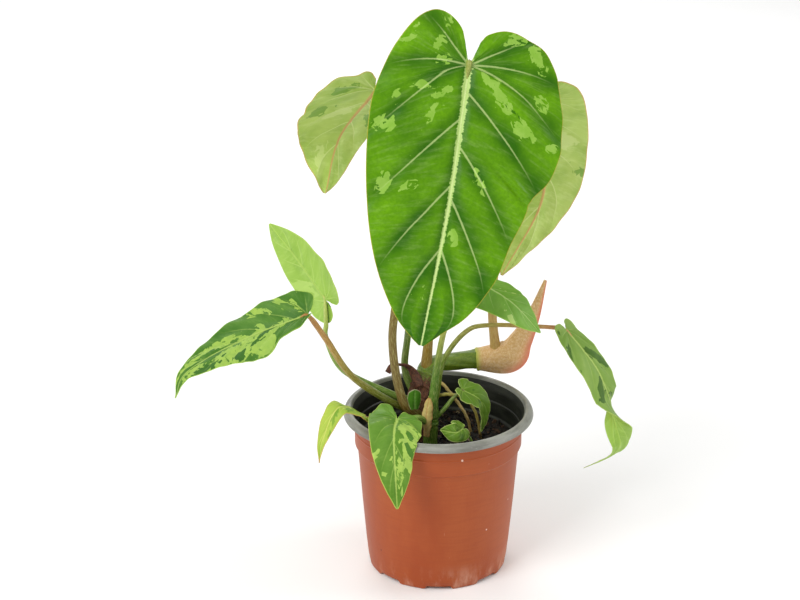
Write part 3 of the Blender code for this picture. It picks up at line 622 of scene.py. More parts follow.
def pot_profiles():
    """The grey inside with the rolled rim, the terracotta outside, and how many grey points are rim."""
    floor_top = POT_FLOOR_HEIGHT + POT_WALL
    foot_inside = POT_FOOT_RADIUS - FOOT_RING_WIDTH
    step = POT_STEP
    wall = [(wall_radius(height), height) for height in WALL_HEIGHTS]
    collar = [(POT_SHOULDER_RADIUS, POT_COLLAR_HEIGHT - step),
              (POT_COLLAR_RADIUS, POT_COLLAR_HEIGHT + step),
              (POT_COLLAR_RADIUS, POT_RIDGE_HEIGHT - step), (POT_COLLAR_RADIUS + step, POT_RIDGE_HEIGHT),
              (POT_COLLAR_RADIUS + step / 2, POT_RIDGE_HEIGHT + step),
              (POT_COLLAR_RADIUS + step, POT_LIP_HEIGHT - 2 * step)]
    rim = [(POT_LIP_RADIUS, POT_LIP_HEIGHT), (POT_RIM_RADIUS, POT_LIP_HEIGHT + step),
           (POT_RIM_RADIUS, POT_LIP_HEIGHT + 2 * step), (POT_RIM_RADIUS - step, POT_HEIGHT - 2 * step),
           (POT_LIP_RADIUS, POT_HEIGHT), (POT_LIP_RADIUS - 2 * step, POT_HEIGHT),
           (POT_LIP_RADIUS - 3 * step, POT_HEIGHT - 2 * step)]
    inside = [(radius - POT_WALL, height) for radius, height in reversed(wall[1:] + collar)]
    floor = [(wall_radius(floor_top) - 2 * POT_WALL, floor_top), (POT_PAD_RADIUS + POT_WALL, floor_top),
             (POT_PAD_RADIUS - POT_WALL, POT_WALL), (0.0, POT_WALL)]
    below = [(0.0, 0.0), (POT_PAD_RADIUS, 0.0), (POT_PAD_RADIUS + 2 * POT_WALL, POT_FLOOR_HEIGHT),
             (foot_inside - POT_WALL, POT_FLOOR_HEIGHT), (foot_inside, 0.0)]
    grey = list(reversed(rim + inside + floor))
    clay = list(reversed(below + wall + collar + rim[:1]))
    rim_points = CORNER_POINTS * (len(rim) - 1) + 1
    return rounded(grey, ROUNDING), rounded(clay, ROUNDING), rim_points


def foot_lift(angles):
    """How far the foot is cut away at each angle: eight shallow notches with rounded corners."""
    width, height = FOOT_NOTCH
    step = 2 * math.pi / FOOT_NOTCHES
    from_notch = (angles + math.pi / 2 + step / 2) % step - step / 2
    arc = np.abs(from_notch) * POT_FOOT_RADIUS
    corner = 0.6 * smoothstep(arc, 0.5 * step * POT_FOOT_RADIUS - 0.002, width / 2)
    notch = smoothstep(arc, width / 2 + 0.0012, width / 2 - 0.0006)
    return height * np.maximum(notch, 0.35 * (1 - corner) - 0.15)


def revolve(profile, steps):
    """Points and faces of a profile turned round the Z axis; ends on the axis become single points."""
    angles = np.linspace(0, 2 * math.pi, steps, endpoint=False)
    radius, height = profile[1:-1, 0], profile[1:-1, 1]
    ring = np.stack([np.outer(radius, np.cos(angles)), np.outer(radius, np.sin(angles)),
                     np.repeat(height[:, None], steps, 1)], 2)
    count = len(radius)
    first, last = count * steps, count * steps + 1
    points = np.vstack([ring.reshape(-1, 3), [[0, 0, profile[0, 1]], [0, 0, profile[-1, 1]]]])
    faces = []
    rows = []
    for j in range(steps):
        k = (j + 1) % steps
        faces.append((first, j, k))
        rows.append(0)
        for i in range(count - 1):
            a, b = i * steps, (i + 1) * steps
            faces.append((a + j, b + j, b + k, a + k))
            rows.append(i + 1)
        end = (count - 1) * steps
        faces.append((last, end + k, end + j))
        rows.append(count)
    return points, faces, np.array(rows), np.tile(angles, count)


def drain_cutter():
    """Eight upright pins in one mesh, which open the drain holes in the pot's floor."""
    mesh = bpy.data.meshes.new("drain_pins")
    shape = bmesh.new()
    for i in range(DRAIN_HOLES):
        angle = math.radians(-90 + 360 * (i + 0.5) / DRAIN_HOLES)
        made = bmesh.ops.create_cone(shape, cap_ends=True, segments=28, radius1=DRAIN_RADIUS,
                                     radius2=DRAIN_RADIUS, depth=0.006)
        place = (DRAIN_CIRCLE * math.cos(angle), DRAIN_CIRCLE * math.sin(angle), POT_FLOOR_HEIGHT)
        bmesh.ops.translate(shape, verts=made["verts"], vec=place)
    shape.to_mesh(mesh)
    shape.free()
    return bpy.data.objects.new("drain_pins", mesh)


def apply_cut(piece, cutter):
    """Takes the cutter's shape out of the piece and removes the cutter."""
    bpy.context.scene.collection.objects.link(cutter)
    modifier = piece.modifiers.new("cut", "BOOLEAN")
    modifier.operation = "DIFFERENCE"
    modifier.solver = "EXACT"
    modifier.object = cutter
    evaluated = piece.evaluated_get(bpy.context.evaluated_depsgraph_get())
    mesh = bpy.data.meshes.new_from_object(evaluated)
    piece.modifiers.clear()
    piece.data = mesh
    bpy.data.objects.remove(cutter)


def make_pot():
    """The pot in one mesh, with its thin wall a little out of round and its foot notched."""
    grey, clay, rim_points = pot_profiles()
    points, faces, rows, angles = revolve(np.vstack([grey, clay[1:]]), POT_STEPS)
    rings = points[:-2]
    outer = np.hypot(rings[:, 0], rings[:, 1]) > POT_FOOT_RADIUS - FOOT_RING_WIDTH - POT_WALL / 2
    low = (rings[:, 2] < FOOT_BAND) & outer
    share = 1 - rings[:, 2] / FOOT_BAND
    rings[:, 2] += np.where(low, foot_lift(angles) * np.clip(share, 0, 1), 0.0)
    wall = np.clip((rings[:, 2] - 0.01) / 0.06, 0, 1)
    rings[:, :2] *= (1 + WALL_WOBBLE * wall * wobble(rings, 0.05, 3))[:, None]
    kinds = np.where(rows >= len(grey) - 2, 0, np.where(rows >= len(grey) - rim_points, 2, 1))
    # one grey plastic used twice: the rim copy is painted lighter (painted light), the inside copy darker
    # (painted shade)
    materials = [terracotta_plastic(),
                 grey_plastic("pot_inside_painted_shade", tone(24, 26, 20), tone(50, 52, 44), tone(96, 92, 78)),
                 grey_plastic("pot_rim_painted_light", tone(112, 112, 104), tone(150, 150, 142), tone(178, 174, 162))]
    pot = build("pot_detailed", points, faces, materials, kinds)
    apply_cut(pot, drain_cutter())
    return stand_for(pot, "pot")


def soil_height(x, y):
    """The pressed, lumpy top of the soil."""
    lumps = np.sin(310 * x + 1.0) * np.cos(270 * y) + 0.6 * np.sin(520 * y + 700 * x)
    return SOIL_TOP + SOIL_LUMP * lumps / 1.6


def crumb_mesh(count, top_radius):
    """Bark chips, fibres and grains lying on the soil: small bent boxes with a shade each."""
    points, faces, shades = [], [], []
    corners = np.array([(x, y, z) for x in (-1, 1) for y in (-1, 1) for z in (-1, 1)], float)
    sides = ((0, 1, 3, 2), (4, 6, 7, 5), (0, 4, 5, 1), (2, 3, 7, 6), (0, 2, 6, 4), (1, 5, 7, 3))
    for _ in range(count):
        radius = top_radius * math.sqrt(rng.uniform())
        angle = rng.uniform(0, 2 * math.pi)
        x, y = radius * math.cos(angle), radius * math.sin(angle)
        size = np.array([rng.uniform(0.4, 2.6), rng.uniform(0.3, 0.9), rng.uniform(0.2, 0.7)]) * MM
        turn = np.linalg.qr(rng.normal(size=(3, 3)) * (1, 1, 0.6))[0]
        shape = (corners * (1 + rng.uniform(-0.35, 0.2, (8, 3)))) * size @ turn
        centre = (x, y, soil_height(x, y) + rng.uniform(0.1, 1.1) * MM)
        start = len(points)
        points += list(shape + centre)
        faces += [tuple(start + k for k in side) for side in sides]
        shades += [rng.uniform() ** 1.5] * 8
    return points, faces, shades


def make_soil():
    """The root ball's top with its crumbs, and the plain body that fills the pot below."""
    inner = POT_WALL + SOIL_GAP
    top_radius = POT_SHOULDER_RADIUS - inner
    profile = [(radius, SOIL_TOP) for radius in np.linspace(0.0, top_radius, SOIL_ROWS)]
    profile += [(wall_radius(height) - inner, height) for height in reversed(WALL_HEIGHTS[1:])]
    profile += [(POT_FOOT_RADIUS - 3 * POT_WALL, SOIL_BOTTOM), (0.0, SOIL_BOTTOM)]
    points, faces, _, _ = revolve(np.array(profile), SOIL_STEPS)
    top = points[:, 2] > SOIL_TOP - 0.0001
    x, y = points[top, 0], points[top, 1]
    lumps = 0.5 * wobble(points[top], 0.004, 5) + 0.35 * wobble(points[top], 0.0018, 9)
    points[top, 2] = soil_height(x, y) + lumps * MM
    more, crumb_faces, shades = crumb_mesh(CRUMBS, top_radius - 2 * MM)
    start = len(points)
    faces = faces + [tuple(start + k for k in face) for face in crumb_faces]
    shade = np.concatenate([np.zeros(start), shades])
    soil = build("soil_detailed", np.vstack([points, more]), faces, [soil_material()],
                 fields={"shade": shade}, smooth=False)
    return stand_for(soil, "potting_soil")


# ---------------------------------------------------------------- blades
class LeafFrame:
    """The moving frame along a blade's midrib: place, forward, upper side and right-hand side."""

    def __init__(self, spec):
        line = smooth_curve(spec["midrib"], CURVE_SAMPLES + 1) * MM
        forward = unit(np.gradient(line, axis=0))
        up = np.asarray(spec["faces"], float)
        carried = []
        for direction in forward:
            up = unit(up - direction * (up @ direction))
            carried.append(up)
        carried = np.array(carried)
        share = np.linspace(0, 1, len(line))
        start, end = spec.get("twist_span", (0.0, 1.0))
        turn = np.radians(spec.get("twist", 0)) * np.clip((share - start) / (end - start), 0, 1)
        side = np.cross(forward, carried)
        up = carried * np.cos(turn)[:, None] + side * np.sin(turn)[:, None]
        self.share, self.line, self.forward, self.up = share, line, forward, up
        self.side = np.cross(forward, up)
        self.length = float(np.linalg.norm(np.diff(line, axis=0), axis=1).sum())

    def at(self, share, field):
        share = np.clip(share, 0, 1)
        return np.stack([np.interp(share, self.share, field[:, k]) for k in range(3)], -1)


def half_grid(outline, half_width, lobe, length, rows, columns):
    """Flat (across, along) points of one half blade; its rows run from the midrib like side veins."""
    outline = np.array(outline, float)
    outline[:, 0] *= half_width
    outline[:, 1] = np.where(outline[:, 1] < 0, outline[:, 1] * lobe, outline[:, 1]) * length
    edge = smooth_curve(outline, rows + 1)
    root = edge[:, 1] / length - ROW_LEAN * (1 - edge[:, 1] / length) * edge[:, 0] / half_width
    root = np.maximum.accumulate(np.clip(root, 0, 1) + 0.02 * np.linspace(0, 1, rows + 1))
    root *= length / root[-1]
    share = np.linspace(0, 1, columns + 1)
    across = edge[:, :1] * share
    along = root[:, None] + (edge[:, 1:] - root[:, None]) * share**ROW_BEND
    return across, along


def nearest(x, y, line):
    """Distance in the flat blade from each grid point to the nearest point of a line."""
    gap = np.hypot(x.ravel()[:, None] - line[None, :, 0], y.ravel()[:, None] - line[None, :, 1])
    return gap.min(1).reshape(x.shape)


def vein_order(row, count, share):
    """A value that counts the side veins from sinus to tip: whole on each vein, smooth between them.

    Side veins leave the midrib over its first three quarters and fan out to the whole margin.
    """
    at_rib, at_margin = np.linspace(0.10, 0.74, count), np.linspace(0.13, 0.95, count)
    order = np.empty(row.shape)
    for column in range(row.shape[1]):
        places = at_rib + (at_margin - at_rib) * share[column]
        step = places[1] - places[0]
        order[:, column] = np.clip((row[:, column] - places[0]) / step, VEIN_END - 1, count - VEIN_END)
    return order


def steepness(field, x, y):
    """Size of a field's slope in the flat blade, in 1 / metres."""
    x_row, y_row = np.gradient(x, axis=0), np.gradient(y, axis=0)
    x_column, y_column = np.gradient(x, axis=1), np.gradient(y, axis=1)
    f_row, f_column = np.gradient(field, axis=0), np.gradient(field, axis=1)
    area = x_row * y_column - y_row * x_column
    area = np.where(np.abs(area) < 1e-12, 1e-12, area)
    return np.hypot(f_row * y_column - f_column * y_row, f_column * x_row - f_row * x_column) / np.abs(area)


def patch_axes(x, y, length, across, along, angle):
    """Coordinates in mm along and across a patch, whose long axis turns from outwards to the tip."""
    outward = math.copysign(1.0, across)
    dx, dy = (x / MM - across) * outward, (y - along * length) / MM
    turn = math.radians(angle)
    return dx * math.cos(turn) + dy * math.sin(turn), dy * math.cos(turn) - dx * math.sin(turn)


def patch_field(x, y, length, patches):
    """Signed distance (mm, above 0 inside) to the nearest patch of a list of turned ellipses.

    A patch is (across in mm, along as a share, half length and half width in mm, angle).
    """
    field = np.full(x.shape, NO_PATCH)
    for across, along, long_half, wide_half, angle in patches:
        u, v = patch_axes(x, y, length, across, along, angle)
        field = np.maximum(field, (1 - np.hypot(u / long_half, v / wide_half)) * wide_half)
    return field


def half_values(leaf, spec, look, k):
    """Grid values of one half blade: flat x and y, row, place, vein count and vein spacing."""
    rows, columns = look["cells"]
    sign = (-1, 1)[k]
    widths = np.array(spec["half"]) * MM
    outline = spec.get("outlines", (HEART, HEART))[k]
    lobe = spec.get("lobes", (1.0, 1.0))[k]
    across, along = half_grid(outline, widths[k], lobe, leaf.length, rows, columns)
    share = np.clip(along / leaf.length, 0, 1)
    fold = np.radians(np.interp(share, (0, 1), spec.get("fold", FOLD)))
    bend = np.radians(spec.get("curl", CURL)[k] - LEAST_CURL) / max(widths)
    out = (np.sin(fold + bend * across) - np.sin(fold)) / bend
    rise = (np.cos(fold) - np.cos(fold + bend * across)) / bend
    place = leaf.at(share, leaf.line) + leaf.at(share, leaf.forward) * np.minimum(along, 0)[..., None]
    place = place + leaf.at(share, leaf.side) * (sign * out)[..., None]
    place = place + leaf.at(share, leaf.up) * rise[..., None]
    row = np.repeat(np.linspace(0, 1, rows + 1)[:, None], columns + 1, 1)
    count = vein_order(row, look.get("veins", (6, 6))[k], np.linspace(0, 1, columns + 1))
    gap = np.clip(1 / (steepness(count, across, along) + 1e-9), 0, WIDEST_VEIN_GAP)
    return sign * across, along, row, place, count, gap


class Blade:
    """Every value of a blade on its grid: place, directions, flat coordinates and the look's fields."""

    def __init__(self, spec, look):
        rows, columns = look["cells"]
        self.leaf = LeafFrame(spec)
        halves = [half_values(self.leaf, spec, look, k) for k in (0, 1)]
        self.x, self.y, self.row, self.place, self.count, self.gap = [
            np.concatenate([left[:, :0:-1], right], axis=1) for left, right in zip(*halves)]
        self.vein = np.abs(self.count - np.round(self.count)) * self.gap
        self.share = np.abs(np.linspace(-1, 1, 2 * columns + 1))[None, :].repeat(rows + 1, 0)
        reach = look.get("reach", 0.95)
        self.show = 1 - smoothstep(self.share, 0.45 * reach, reach)
        self.along = np.clip(self.y / self.leaf.length, 0, 1)
        self.normal = self.surface_normal()
        self.edge = self.edge_distance()

    def surface_normal(self):
        down = np.gradient(self.place, axis=0)
        out = np.gradient(self.place, axis=1)
        normal = unit(np.cross(out, down))
        return unit(normal + 0.02 * self.leaf.at(self.along, self.leaf.up))

    def edge_distance(self):
        border = np.stack([self.x, self.y], 2)
        line = np.concatenate([border[:, 0], border[::-1, -1]])
        return nearest(self.x, self.y, line)


def blade_relief(blade, look):
    """Lift of the blade's middle surface along its normal, in metres: quilting, ripples and pleats."""
    quilt = look.get("quilt", 0.5) * (1 - bell(blade.vein, 3.6 * MM)) * (1 - bell(blade.x, 3.5 * MM))
    wave, count, phase = look.get("ripple", (0.6, 4.0, 0.0))
    margin = blade.share**2.5
    side = np.where(blade.x < 0, 0.0, 1.7)
    turn = 2 * math.pi * count * blade.row + phase + side
    ripple = wave * margin * (np.sin(turn) + 0.45 * np.sin(2.3 * turn + 1.0)) * (1 - 0.7 * blade.along)
    drift = look.get("drift", 0.5) * wobble(blade.place, 0.022, look.get("seed", 1))
    pleat = np.zeros(blade.x.shape)
    for across, along, reach, angle, height in look.get("pleats", ()):
        u, v = patch_axes(blade.x, blade.y, blade.leaf.length, across, along, angle)
        pleat += height * bell(u, reach) * (bell(v + 1.4, 1.5) - bell(v - 1.2, 1.6))
    return (quilt + ripple + drift * smoothstep(blade.share, 0.05, 0.5) + pleat) * MM


def shell_faces(rows, columns):
    """Faces of a closed sheet over a grid, its top, bottom and rim, and which side each one shows."""
    index = np.arange(rows * columns).reshape(rows, columns)
    quads = np.stack([index[:-1, :-1], index[:-1, 1:], index[1:, 1:], index[1:, :-1]], 2).reshape(-1, 4)
    loop = np.concatenate([index[0, :], index[1:, -1], index[-1, -2::-1], index[-2:0:-1, 0]])
    ahead = np.roll(loop, -1)
    other = rows * columns
    rim = np.stack([ahead, loop, loop + other, ahead + other], 1)
    faces = np.concatenate([quads, quads[:, ::-1] + other, rim]).tolist()
    return faces, [0] * len(quads) + [1] * len(quads) + [0] * len(rim)


def blade_fields(blade, spec, look, rib_width):
    """The values and coordinates that the leaf materials read, for the top and again for the bottom."""
    length = blade.leaf.length
    values = {"rib": np.abs(blade.x) / MM, "vein_count": blade.count, "vein_gap": blade.gap / MM,
              "vein_show": blade.show, "vein_width": look.get("vein", 0.45) * (1 - 0.7 * blade.share),
              "rib_width": rib_width / MM, "edge": blade.edge / MM,
              "pale": patch_field(blade.x, blade.y, length, look.get("pale", ())),
              "dark": patch_field(blade.x, blade.y, length, look.get("dark", ()))}
    sign = np.where(blade.x < 0, -1.0, 1.0)
    outward = blade.share * max(spec["half"]) * MM
    vectors = {"flat": np.stack([blade.x, blade.y, 0 * blade.x], 2) / (100 * MM),
               "veinwise": np.stack([blade.row * sign * length, outward, sign * 0.03], 2) / (100 * MM)}
    return ({key: np.tile(field.ravel(), 2) for key, field in values.items()},
            {key: np.tile(field.reshape(-1, 3), (2, 1)) for key, field in vectors.items()})


def make_blade(name, spec, look, upper, under):
    """A thin closed blade with grooves over its veins above and ribs below them."""
    blade = Blade(spec, look)
    rib_gap = np.abs(blade.x)
    rib_width = look.get("rib", 1.0) * (1 - 0.85 * blade.along) * MM
    lift = blade_relief(blade, look)
    fade = smoothstep(blade.edge, 0.0, 1.2 * MM)
    groove = 0.35 * MM * bell(rib_gap, 1.3 * rib_width + 0.4 * MM)
    groove += 0.22 * MM * bell(blade.vein, 0.7 * MM) * blade.show
    ridge = 1.1 * MM * bell(rib_gap, 0.8 * rib_width + 0.35 * MM) * (1 - 0.8 * blade.along)
    ridge += 0.35 * MM * bell(blade.vein, 0.6 * MM) * blade.show
    half = 0.5 * BLADE_THICKNESS * (0.35 + 0.4 * fade)
    top = blade.place + blade.normal * (lift + half - groove * fade)[..., None]
    bottom = blade.place + blade.normal * (lift - half - ridge * fade)[..., None]
    points = np.concatenate([top.reshape(-1, 3), bottom.reshape(-1, 3)])
    faces, kinds = shell_faces(*blade.x.shape)
    values, vectors = blade_fields(blade, spec, look, rib_width)
    return build(name, points, faces, [upper, under], kinds, values, vectors)


# ---------------------------------------------------------------- stalks, stems, sheaths and roots
def full_route(spec):
    """The tube's route, led to the underside of its blade and a little way along the midrib."""
    route = [np.array(point) * MM for point in spec["route"]]
    if "blade" in spec:
        leaf = LeafFrame(BLADES[spec["blade"]])
        end = spec["radii"][-1] * MM
        route.append(leaf.line[0] - leaf.up[0] * 0.85 * end)
        route.append(leaf.line[5] - leaf.up[5] * 0.45 * end)
    return np.array(route)


def tube_grid(spec, steps, sides, relief):
    """Points round a tapered tube as (steps + 1, sides, 3), with its distance along, angle and radius."""
    route = full_route(spec)
    places = np.linspace(0, 1, len(spec["radii"]))
    radii = np.interp(np.linspace(0, 1, len(route)), places, spec["radii"]) * MM
    if "blade" in spec:
        radii[-2:] = 0.8 * radii[-1], 0.3 * radii[-1]
    keys = smooth_curve(np.column_stack([route, radii]), steps + 1)
    line, radius = keys[:, :3], np.maximum(keys[:, 3], LEAST_RADIUS)
    forward = unit(np.gradient(line, axis=0))
    across = np.array([0.0, -1.0, 0.0])
    carried = []
    for direction in forward:
        across = unit(across - direction * (across @ direction))
        carried.append(across)
    a = np.array(carried)
    b = np.cross(forward, a)
    angle = np.linspace(0, 2 * math.pi, sides, endpoint=False)
    distance = np.concatenate([[0], np.cumsum(np.linalg.norm(np.diff(line, axis=0), axis=1))])
    share = np.repeat((distance / distance[-1])[:, None], sides, 1)
    turn = np.repeat(angle[None, :], steps + 1, 0)
    size = np.repeat(radius[:, None], sides, 1)
    size = relief(share, turn, size)
    outward = a[:, None] * np.cos(turn)[..., None] + b[:, None] * np.sin(turn)[..., None]
    points = line[:, None] + outward * size[..., None]
    wise = np.stack([np.cos(turn) * size, np.sin(turn) * size, np.repeat(distance[:, None], sides, 1)], 2)
    return points, line, share, turn, wise / (3 * MM)


def make_tube(name, spec, material, grid, relief, extra):
    """A closed tube with rounded ends; extra gives more fields from its share along and angle round."""
    spacing, sides = grid
    length = np.linalg.norm(np.diff(full_route(spec), axis=0), axis=1).sum()
    steps = max(LEAST_STEPS, int(length / spacing))
    points, line, share, turn, wise = tube_grid(spec, steps, sides, relief)
    rings = steps + 1
    index = np.arange(rings * sides).reshape(rings, sides)
    after = np.roll(index, -1, axis=1)
    quads = np.stack([index[:-1], after[:-1], after[1:], index[1:]], 2).reshape(-1, 4)
    start, end = rings * sides, rings * sides + 1
    ends = np.array([line[0] - unit(line[1] - line[0]) * TUBE_END,
                     line[-1] + unit(line[-1] - line[-2]) * TUBE_END])
    caps = [(start, after[0, j], index[0, j]) for j in range(sides)]
    caps += [(end, index[-1, j], after[-1, j]) for j in range(sides)]
    faces = quads.tolist() + [tuple(int(k) for k in face) for face in caps]
    fields = {"along": np.concatenate([share.ravel(), [0, 1]])}
    for key, values in (extra(share, turn) if extra else {}).items():
        fields[key] = np.concatenate([values.ravel(), [0, 0]])
    vectors = {"tubewise": np.concatenate([wise.reshape(-1, 3), wise[0, :1], wise[-1, :1]])}
    points = np.concatenate([points.reshape(-1, 3), ends])
    return build(name, points, faces, [material], None, fields, vectors)


def stalk_relief(share, turn, size):
    """Slight flutes, a swollen base and a swollen joint under the blade."""
    flutes = 1 + 0.035 * np.cos(5 * turn + 2 * share) + 0.03 * np.sin(17 * share + turn)
    joint = 1 + 0.14 * bell(share - 0.90, 0.03) + 0.22 * bell(share, 0.06)
    return size * flutes * joint


def stem_relief(share, turn, size):
    """Leaf scars and corky lumps on the lower part, smooth rings on the young internode."""
    size = size * (1 + 0.05 * np.sin(3 * turn + 9 * share) + 0.03 * np.sin(7 * turn - 31 * share))
    for ring in STEM_RINGS:
        size = size * (1 + 0.10 * bell(share - ring, 0.008) - 0.05 * bell(share - ring - 0.018, 0.008))
    return size * (1 + 0.06 * bell(share - 0.985, 0.012))


def root_relief(share, turn, size):
    """Small uneven lumps along a root."""
    return size * (1 + 0.10 * np.sin(47 * share + turn) + 0.08 * np.sin(90 * share - 2 * turn))


def turn_from(turn, direction):
    """Angle from a direction round the tube, between -pi and pi."""
    return (turn - direction + math.pi) % (2 * math.pi) - math.pi


def sheath_relief(share, turn, size):
    """A boat-shaped sheath: a keel along its outer side and the overlapping edge opposite it."""
    keel = 1 + 0.16 * bell(turn_from(turn, SHEATH_KEEL), 0.30)
    overlap = turn_from(turn, SHEATH_OVERLAP)
    step = 1 + 0.09 * smoothstep(overlap, -0.5, 0.0) * (overlap < 0) * smoothstep(share, 0.25, 0.5)
    ribs = 1 + 0.012 * np.cos(16 * turn)
    ring = 1 + 0.07 * bell(share - 0.012, 0.012)
    return size * keel * step * ribs * ring


def dried_relief(share, turn, size):
    """A flattened, twisted and shrivelled sheath."""
    return size * (1 + 0.30 * np.cos(2 * turn + 9 * share) + 0.12 * np.sin(5 * turn + 23 * share))


# Looks of each blade: grid cells (along, across each half), side veins of the (left, right) half, relief in
# mm, and its main pale and dark patches as (across mm, share along, half length mm, half width mm, angle).
LOOKS = {
    "leaf_blade_large_front": dict(
        cells=(220, 72), upper="large", quilt=1.1, ripple=(0.5, 5.0, 0.6), drift=0.9, seed=4,
        rib=2.1, vein=0.55, reach=1.0, veins=(7, 6), pleats=((-36, 0.40, 15, 38, 2.2),),
        pale=((15, -0.15, 5, 2, 75), (35, -0.10, 2, 2, 0), (40, -0.05, 5, 2, 15), (20, -0.05, 3, 2, 60),
              (15, 0.0, 3, 2, 30), (30, 0.10, 5, 2, 15), (40, 0.15, 3, 2, 45), (10, 0.10, 7, 2, 30),
              (20, 0.20, 6, 2, 45), (45, 0.25, 5, 4, 30), (40, 0.45, 5, 3, 75), (25, 0.45, 5, 2, 45),
              (-25, -0.10, 6, 3, -15), (-40, -0.05, 8, 3, 60), (-15, 0.05, 4, 2, 15),
              (-20, 0.10, 14, 3, 45), (-35, 0.20, 10, 4, 45), (-45, 0.10, 4, 3, 45),
              (-55, 0.25, 2, 3, 75), (-15, 0.40, 5, 2, 60), (-5, 0.60, 4, 2, 75), (5, 0.80, 4, 2, 75)),
        dark=((-30, 0.15, 3, 1, 45),)),
    "leaf_blade_back_left": dict(
        cells=(150, 50), upper="mottled", under="underside", quilt=0.9, ripple=(1.2, 4.0, 0.4), drift=0.8,
        seed=11, rib=1.5, vein=0.5, veins=(6, 6),
        dark=((-20, 0.0, 9, 4, 15), (-25, 0.30, 8, 4, 45), (20, 0.45, 10, 4, 45), (10, 0.10, 7, 3, 15)),
        pale=((-10, 0.30, 10, 4, 45), (15, 0.25, 10, 4, 45), (-10, 0.75, 8, 3, 75))),
    "leaf_blade_back_right": dict(
        cells=(150, 46), upper="mottled", under="underside", quilt=0.8, ripple=(0.8, 3.5, 1.4), drift=0.8,
        seed=13, rib=1.4, vein=0.4, dark=((-30, 0.10, 7, 3, 45), (25, 0.50, 8, 3, 45)),
        pale=((-10, 0.35, 12, 5, 45), (15, 0.30, 10, 5, 45))),
    "leaf_blade_left_upper": dict(
        cells=(120, 34), upper="mottled", under="underside_green", quilt=0.4, ripple=(0.4, 3.0, 0.2),
        seed=17, rib=0.7, vein=0.2, pale=((10, 0.30, 12, 4, 60),)),
    "leaf_blade_left_long": dict(
        cells=(160, 44), upper="grey", quilt=0.8, ripple=(0.7, 5.0, 0.9), drift=0.6, seed=19,
        rib=0.7, vein=0.3,
        pale=((-10, 0.50, 34, 9, 75), (5, 0.65, 20, 2, 90), (-15, 0.30, 10, 8, 60), (15, 0.15, 5, 2, 45),
              (15, 0.30, 7, 2, 60), (5, 0.05, 6, 2, 15), (-5, 0.80, 10, 3, 90)),
        dark=((-10, 0.75, 13, 3, 90), (-15, 0.50, 5, 3, 60), (-5, 0.30, 8, 2, 60), (-10, 0.0, 6, 4, 15))),
    "leaf_blade_right_small": dict(
        cells=(110, 34), upper="plain", ripple=(0.3, 3.0, 0.3), drift=0.4, seed=23,
        rib=0.6, vein=0.25, pale=((-10, 0.40, 4, 1, 60), (10, 0.60, 5, 1, 60))),
    "leaf_blade_right_hanging": dict(
        cells=(170, 30), upper="light", under="underside_green", quilt=0.4, ripple=(0.5, 6.0, 0.2),
        drift=0.4, seed=29, rib=0.5, vein=0.2,
        dark=((-5, 0.20, 8, 3, 75), (5, 0.35, 6, 3, 75), (-2, 0.40, 4, 2, 75), (10, 0.10, 7, 1, 75))),
    "leaf_blade_front_small": dict(
        cells=(120, 36), upper="front", quilt=0.7, ripple=(0.9, 5.0, 2.0), seed=31,
        rib=0.8, vein=0.25,
        pale=((-10, 0.25, 12, 7, 75), (-10, 0.55, 12, 5, 75), (10, 0.50, 3, 1, 45), (5, 0.65, 3, 1, 60),
              (-3, 0.70, 12, 2, 90), (10, 0.20, 4, 1, 45)),
        dark=((-10, 0.30, 5, 3, 75), (-10, 0.50, 3, 1, 60))),
    "leaf_blade_left_small": dict(
        cells=(120, 28), upper="yellow", under="tan", quilt=0.3, ripple=(0.4, 4.0, 1.0), drift=0.4, seed=37,
        rib=0.4, vein=0.2, pale=((4, 0.30, 10, 2, 60),), dark=((-2, 0.30, 9, 2, 75), (-3, 0.60, 7, 1, 75))),
    "leaf_blade_inner": dict(
        cells=(100, 28), upper="speckled", quilt=0.4, ripple=(0.5, 5.0, 0.0), drift=0.3, seed=41,
        rib=0.4, vein=0.2, dark=((-3, 0.20, 1.5, 1, 45), (4, 0.40, 2, 1, 45))),
    "leaf_blade_sprout": dict(
        cells=(90, 26), upper="speckled", quilt=0.4, ripple=(0.3, 3.0, 0.5), drift=0.3, seed=43,
        rib=0.3, vein=0.15, dark=((-3, 0.30, 2, 1, 45), (3, 0.45, 2, 1, 45))),
    "green_bract": dict(
        cells=(60, 24), upper="bract", under="bract", quilt=0.2, ripple=(0.2, 3.0, 0.0), drift=0.3, seed=47,
        rib=0.3, vein=0.2, reach=0.3),
    "shoot_sheath": dict(
        cells=(60, 20), upper="tan", under="tan", quilt=0.2, ripple=(0.4, 4.0, 0.0), drift=0.3, seed=53,
        rib=0.3, vein=0.2, reach=0.3),
}

# Colours of each stalk at its base, in the middle and under its blade
STALK_COLOURS = {
    "petiole_large_front": ((146, 112, 30), (150, 144, 48), (150, 160, 70)),
    "petiole_back_left": ((112, 86, 24), (138, 124, 40), (176, 156, 84)),
    "petiole_trimmed": ((96, 124, 28), (74, 116, 20), (90, 130, 34)),
    "petiole_back_right": ((190, 150, 84), (176, 156, 70), (170, 162, 90)),
    "petiole_right_small": ((74, 118, 18), (150, 158, 62), (150, 160, 80)),
    "petiole_right_hanging": ((92, 120, 20), (160, 150, 66), (206, 128, 84)),
    "petiole_left_long": ((104, 116, 22), (150, 132, 40), (184, 116, 60)),
    "petiole_left_upper": ((96, 132, 30), (130, 168, 48), (186, 200, 104)),
    "petiole_front_small": ((86, 132, 26), (118, 168, 58), (140, 184, 84)),
    "petiole_left_small": ((150, 96, 34), (176, 116, 44), (170, 120, 60)),
    "petiole_inner": ((84, 124, 24), (96, 132, 30), (96, 96, 44)),
    "petiole_sprout": ((96, 128, 40), (110, 140, 50), (130, 160, 70)),
    "young_shoot": ((70, 104, 12), (78, 120, 16), (84, 128, 20)),
    "aerial_root_arched": ((176, 160, 70), (158, 138, 54), (104, 80, 36)),
    "aerial_root_straight": ((178, 150, 84), (176, 146, 84), (112, 84, 44)),
}


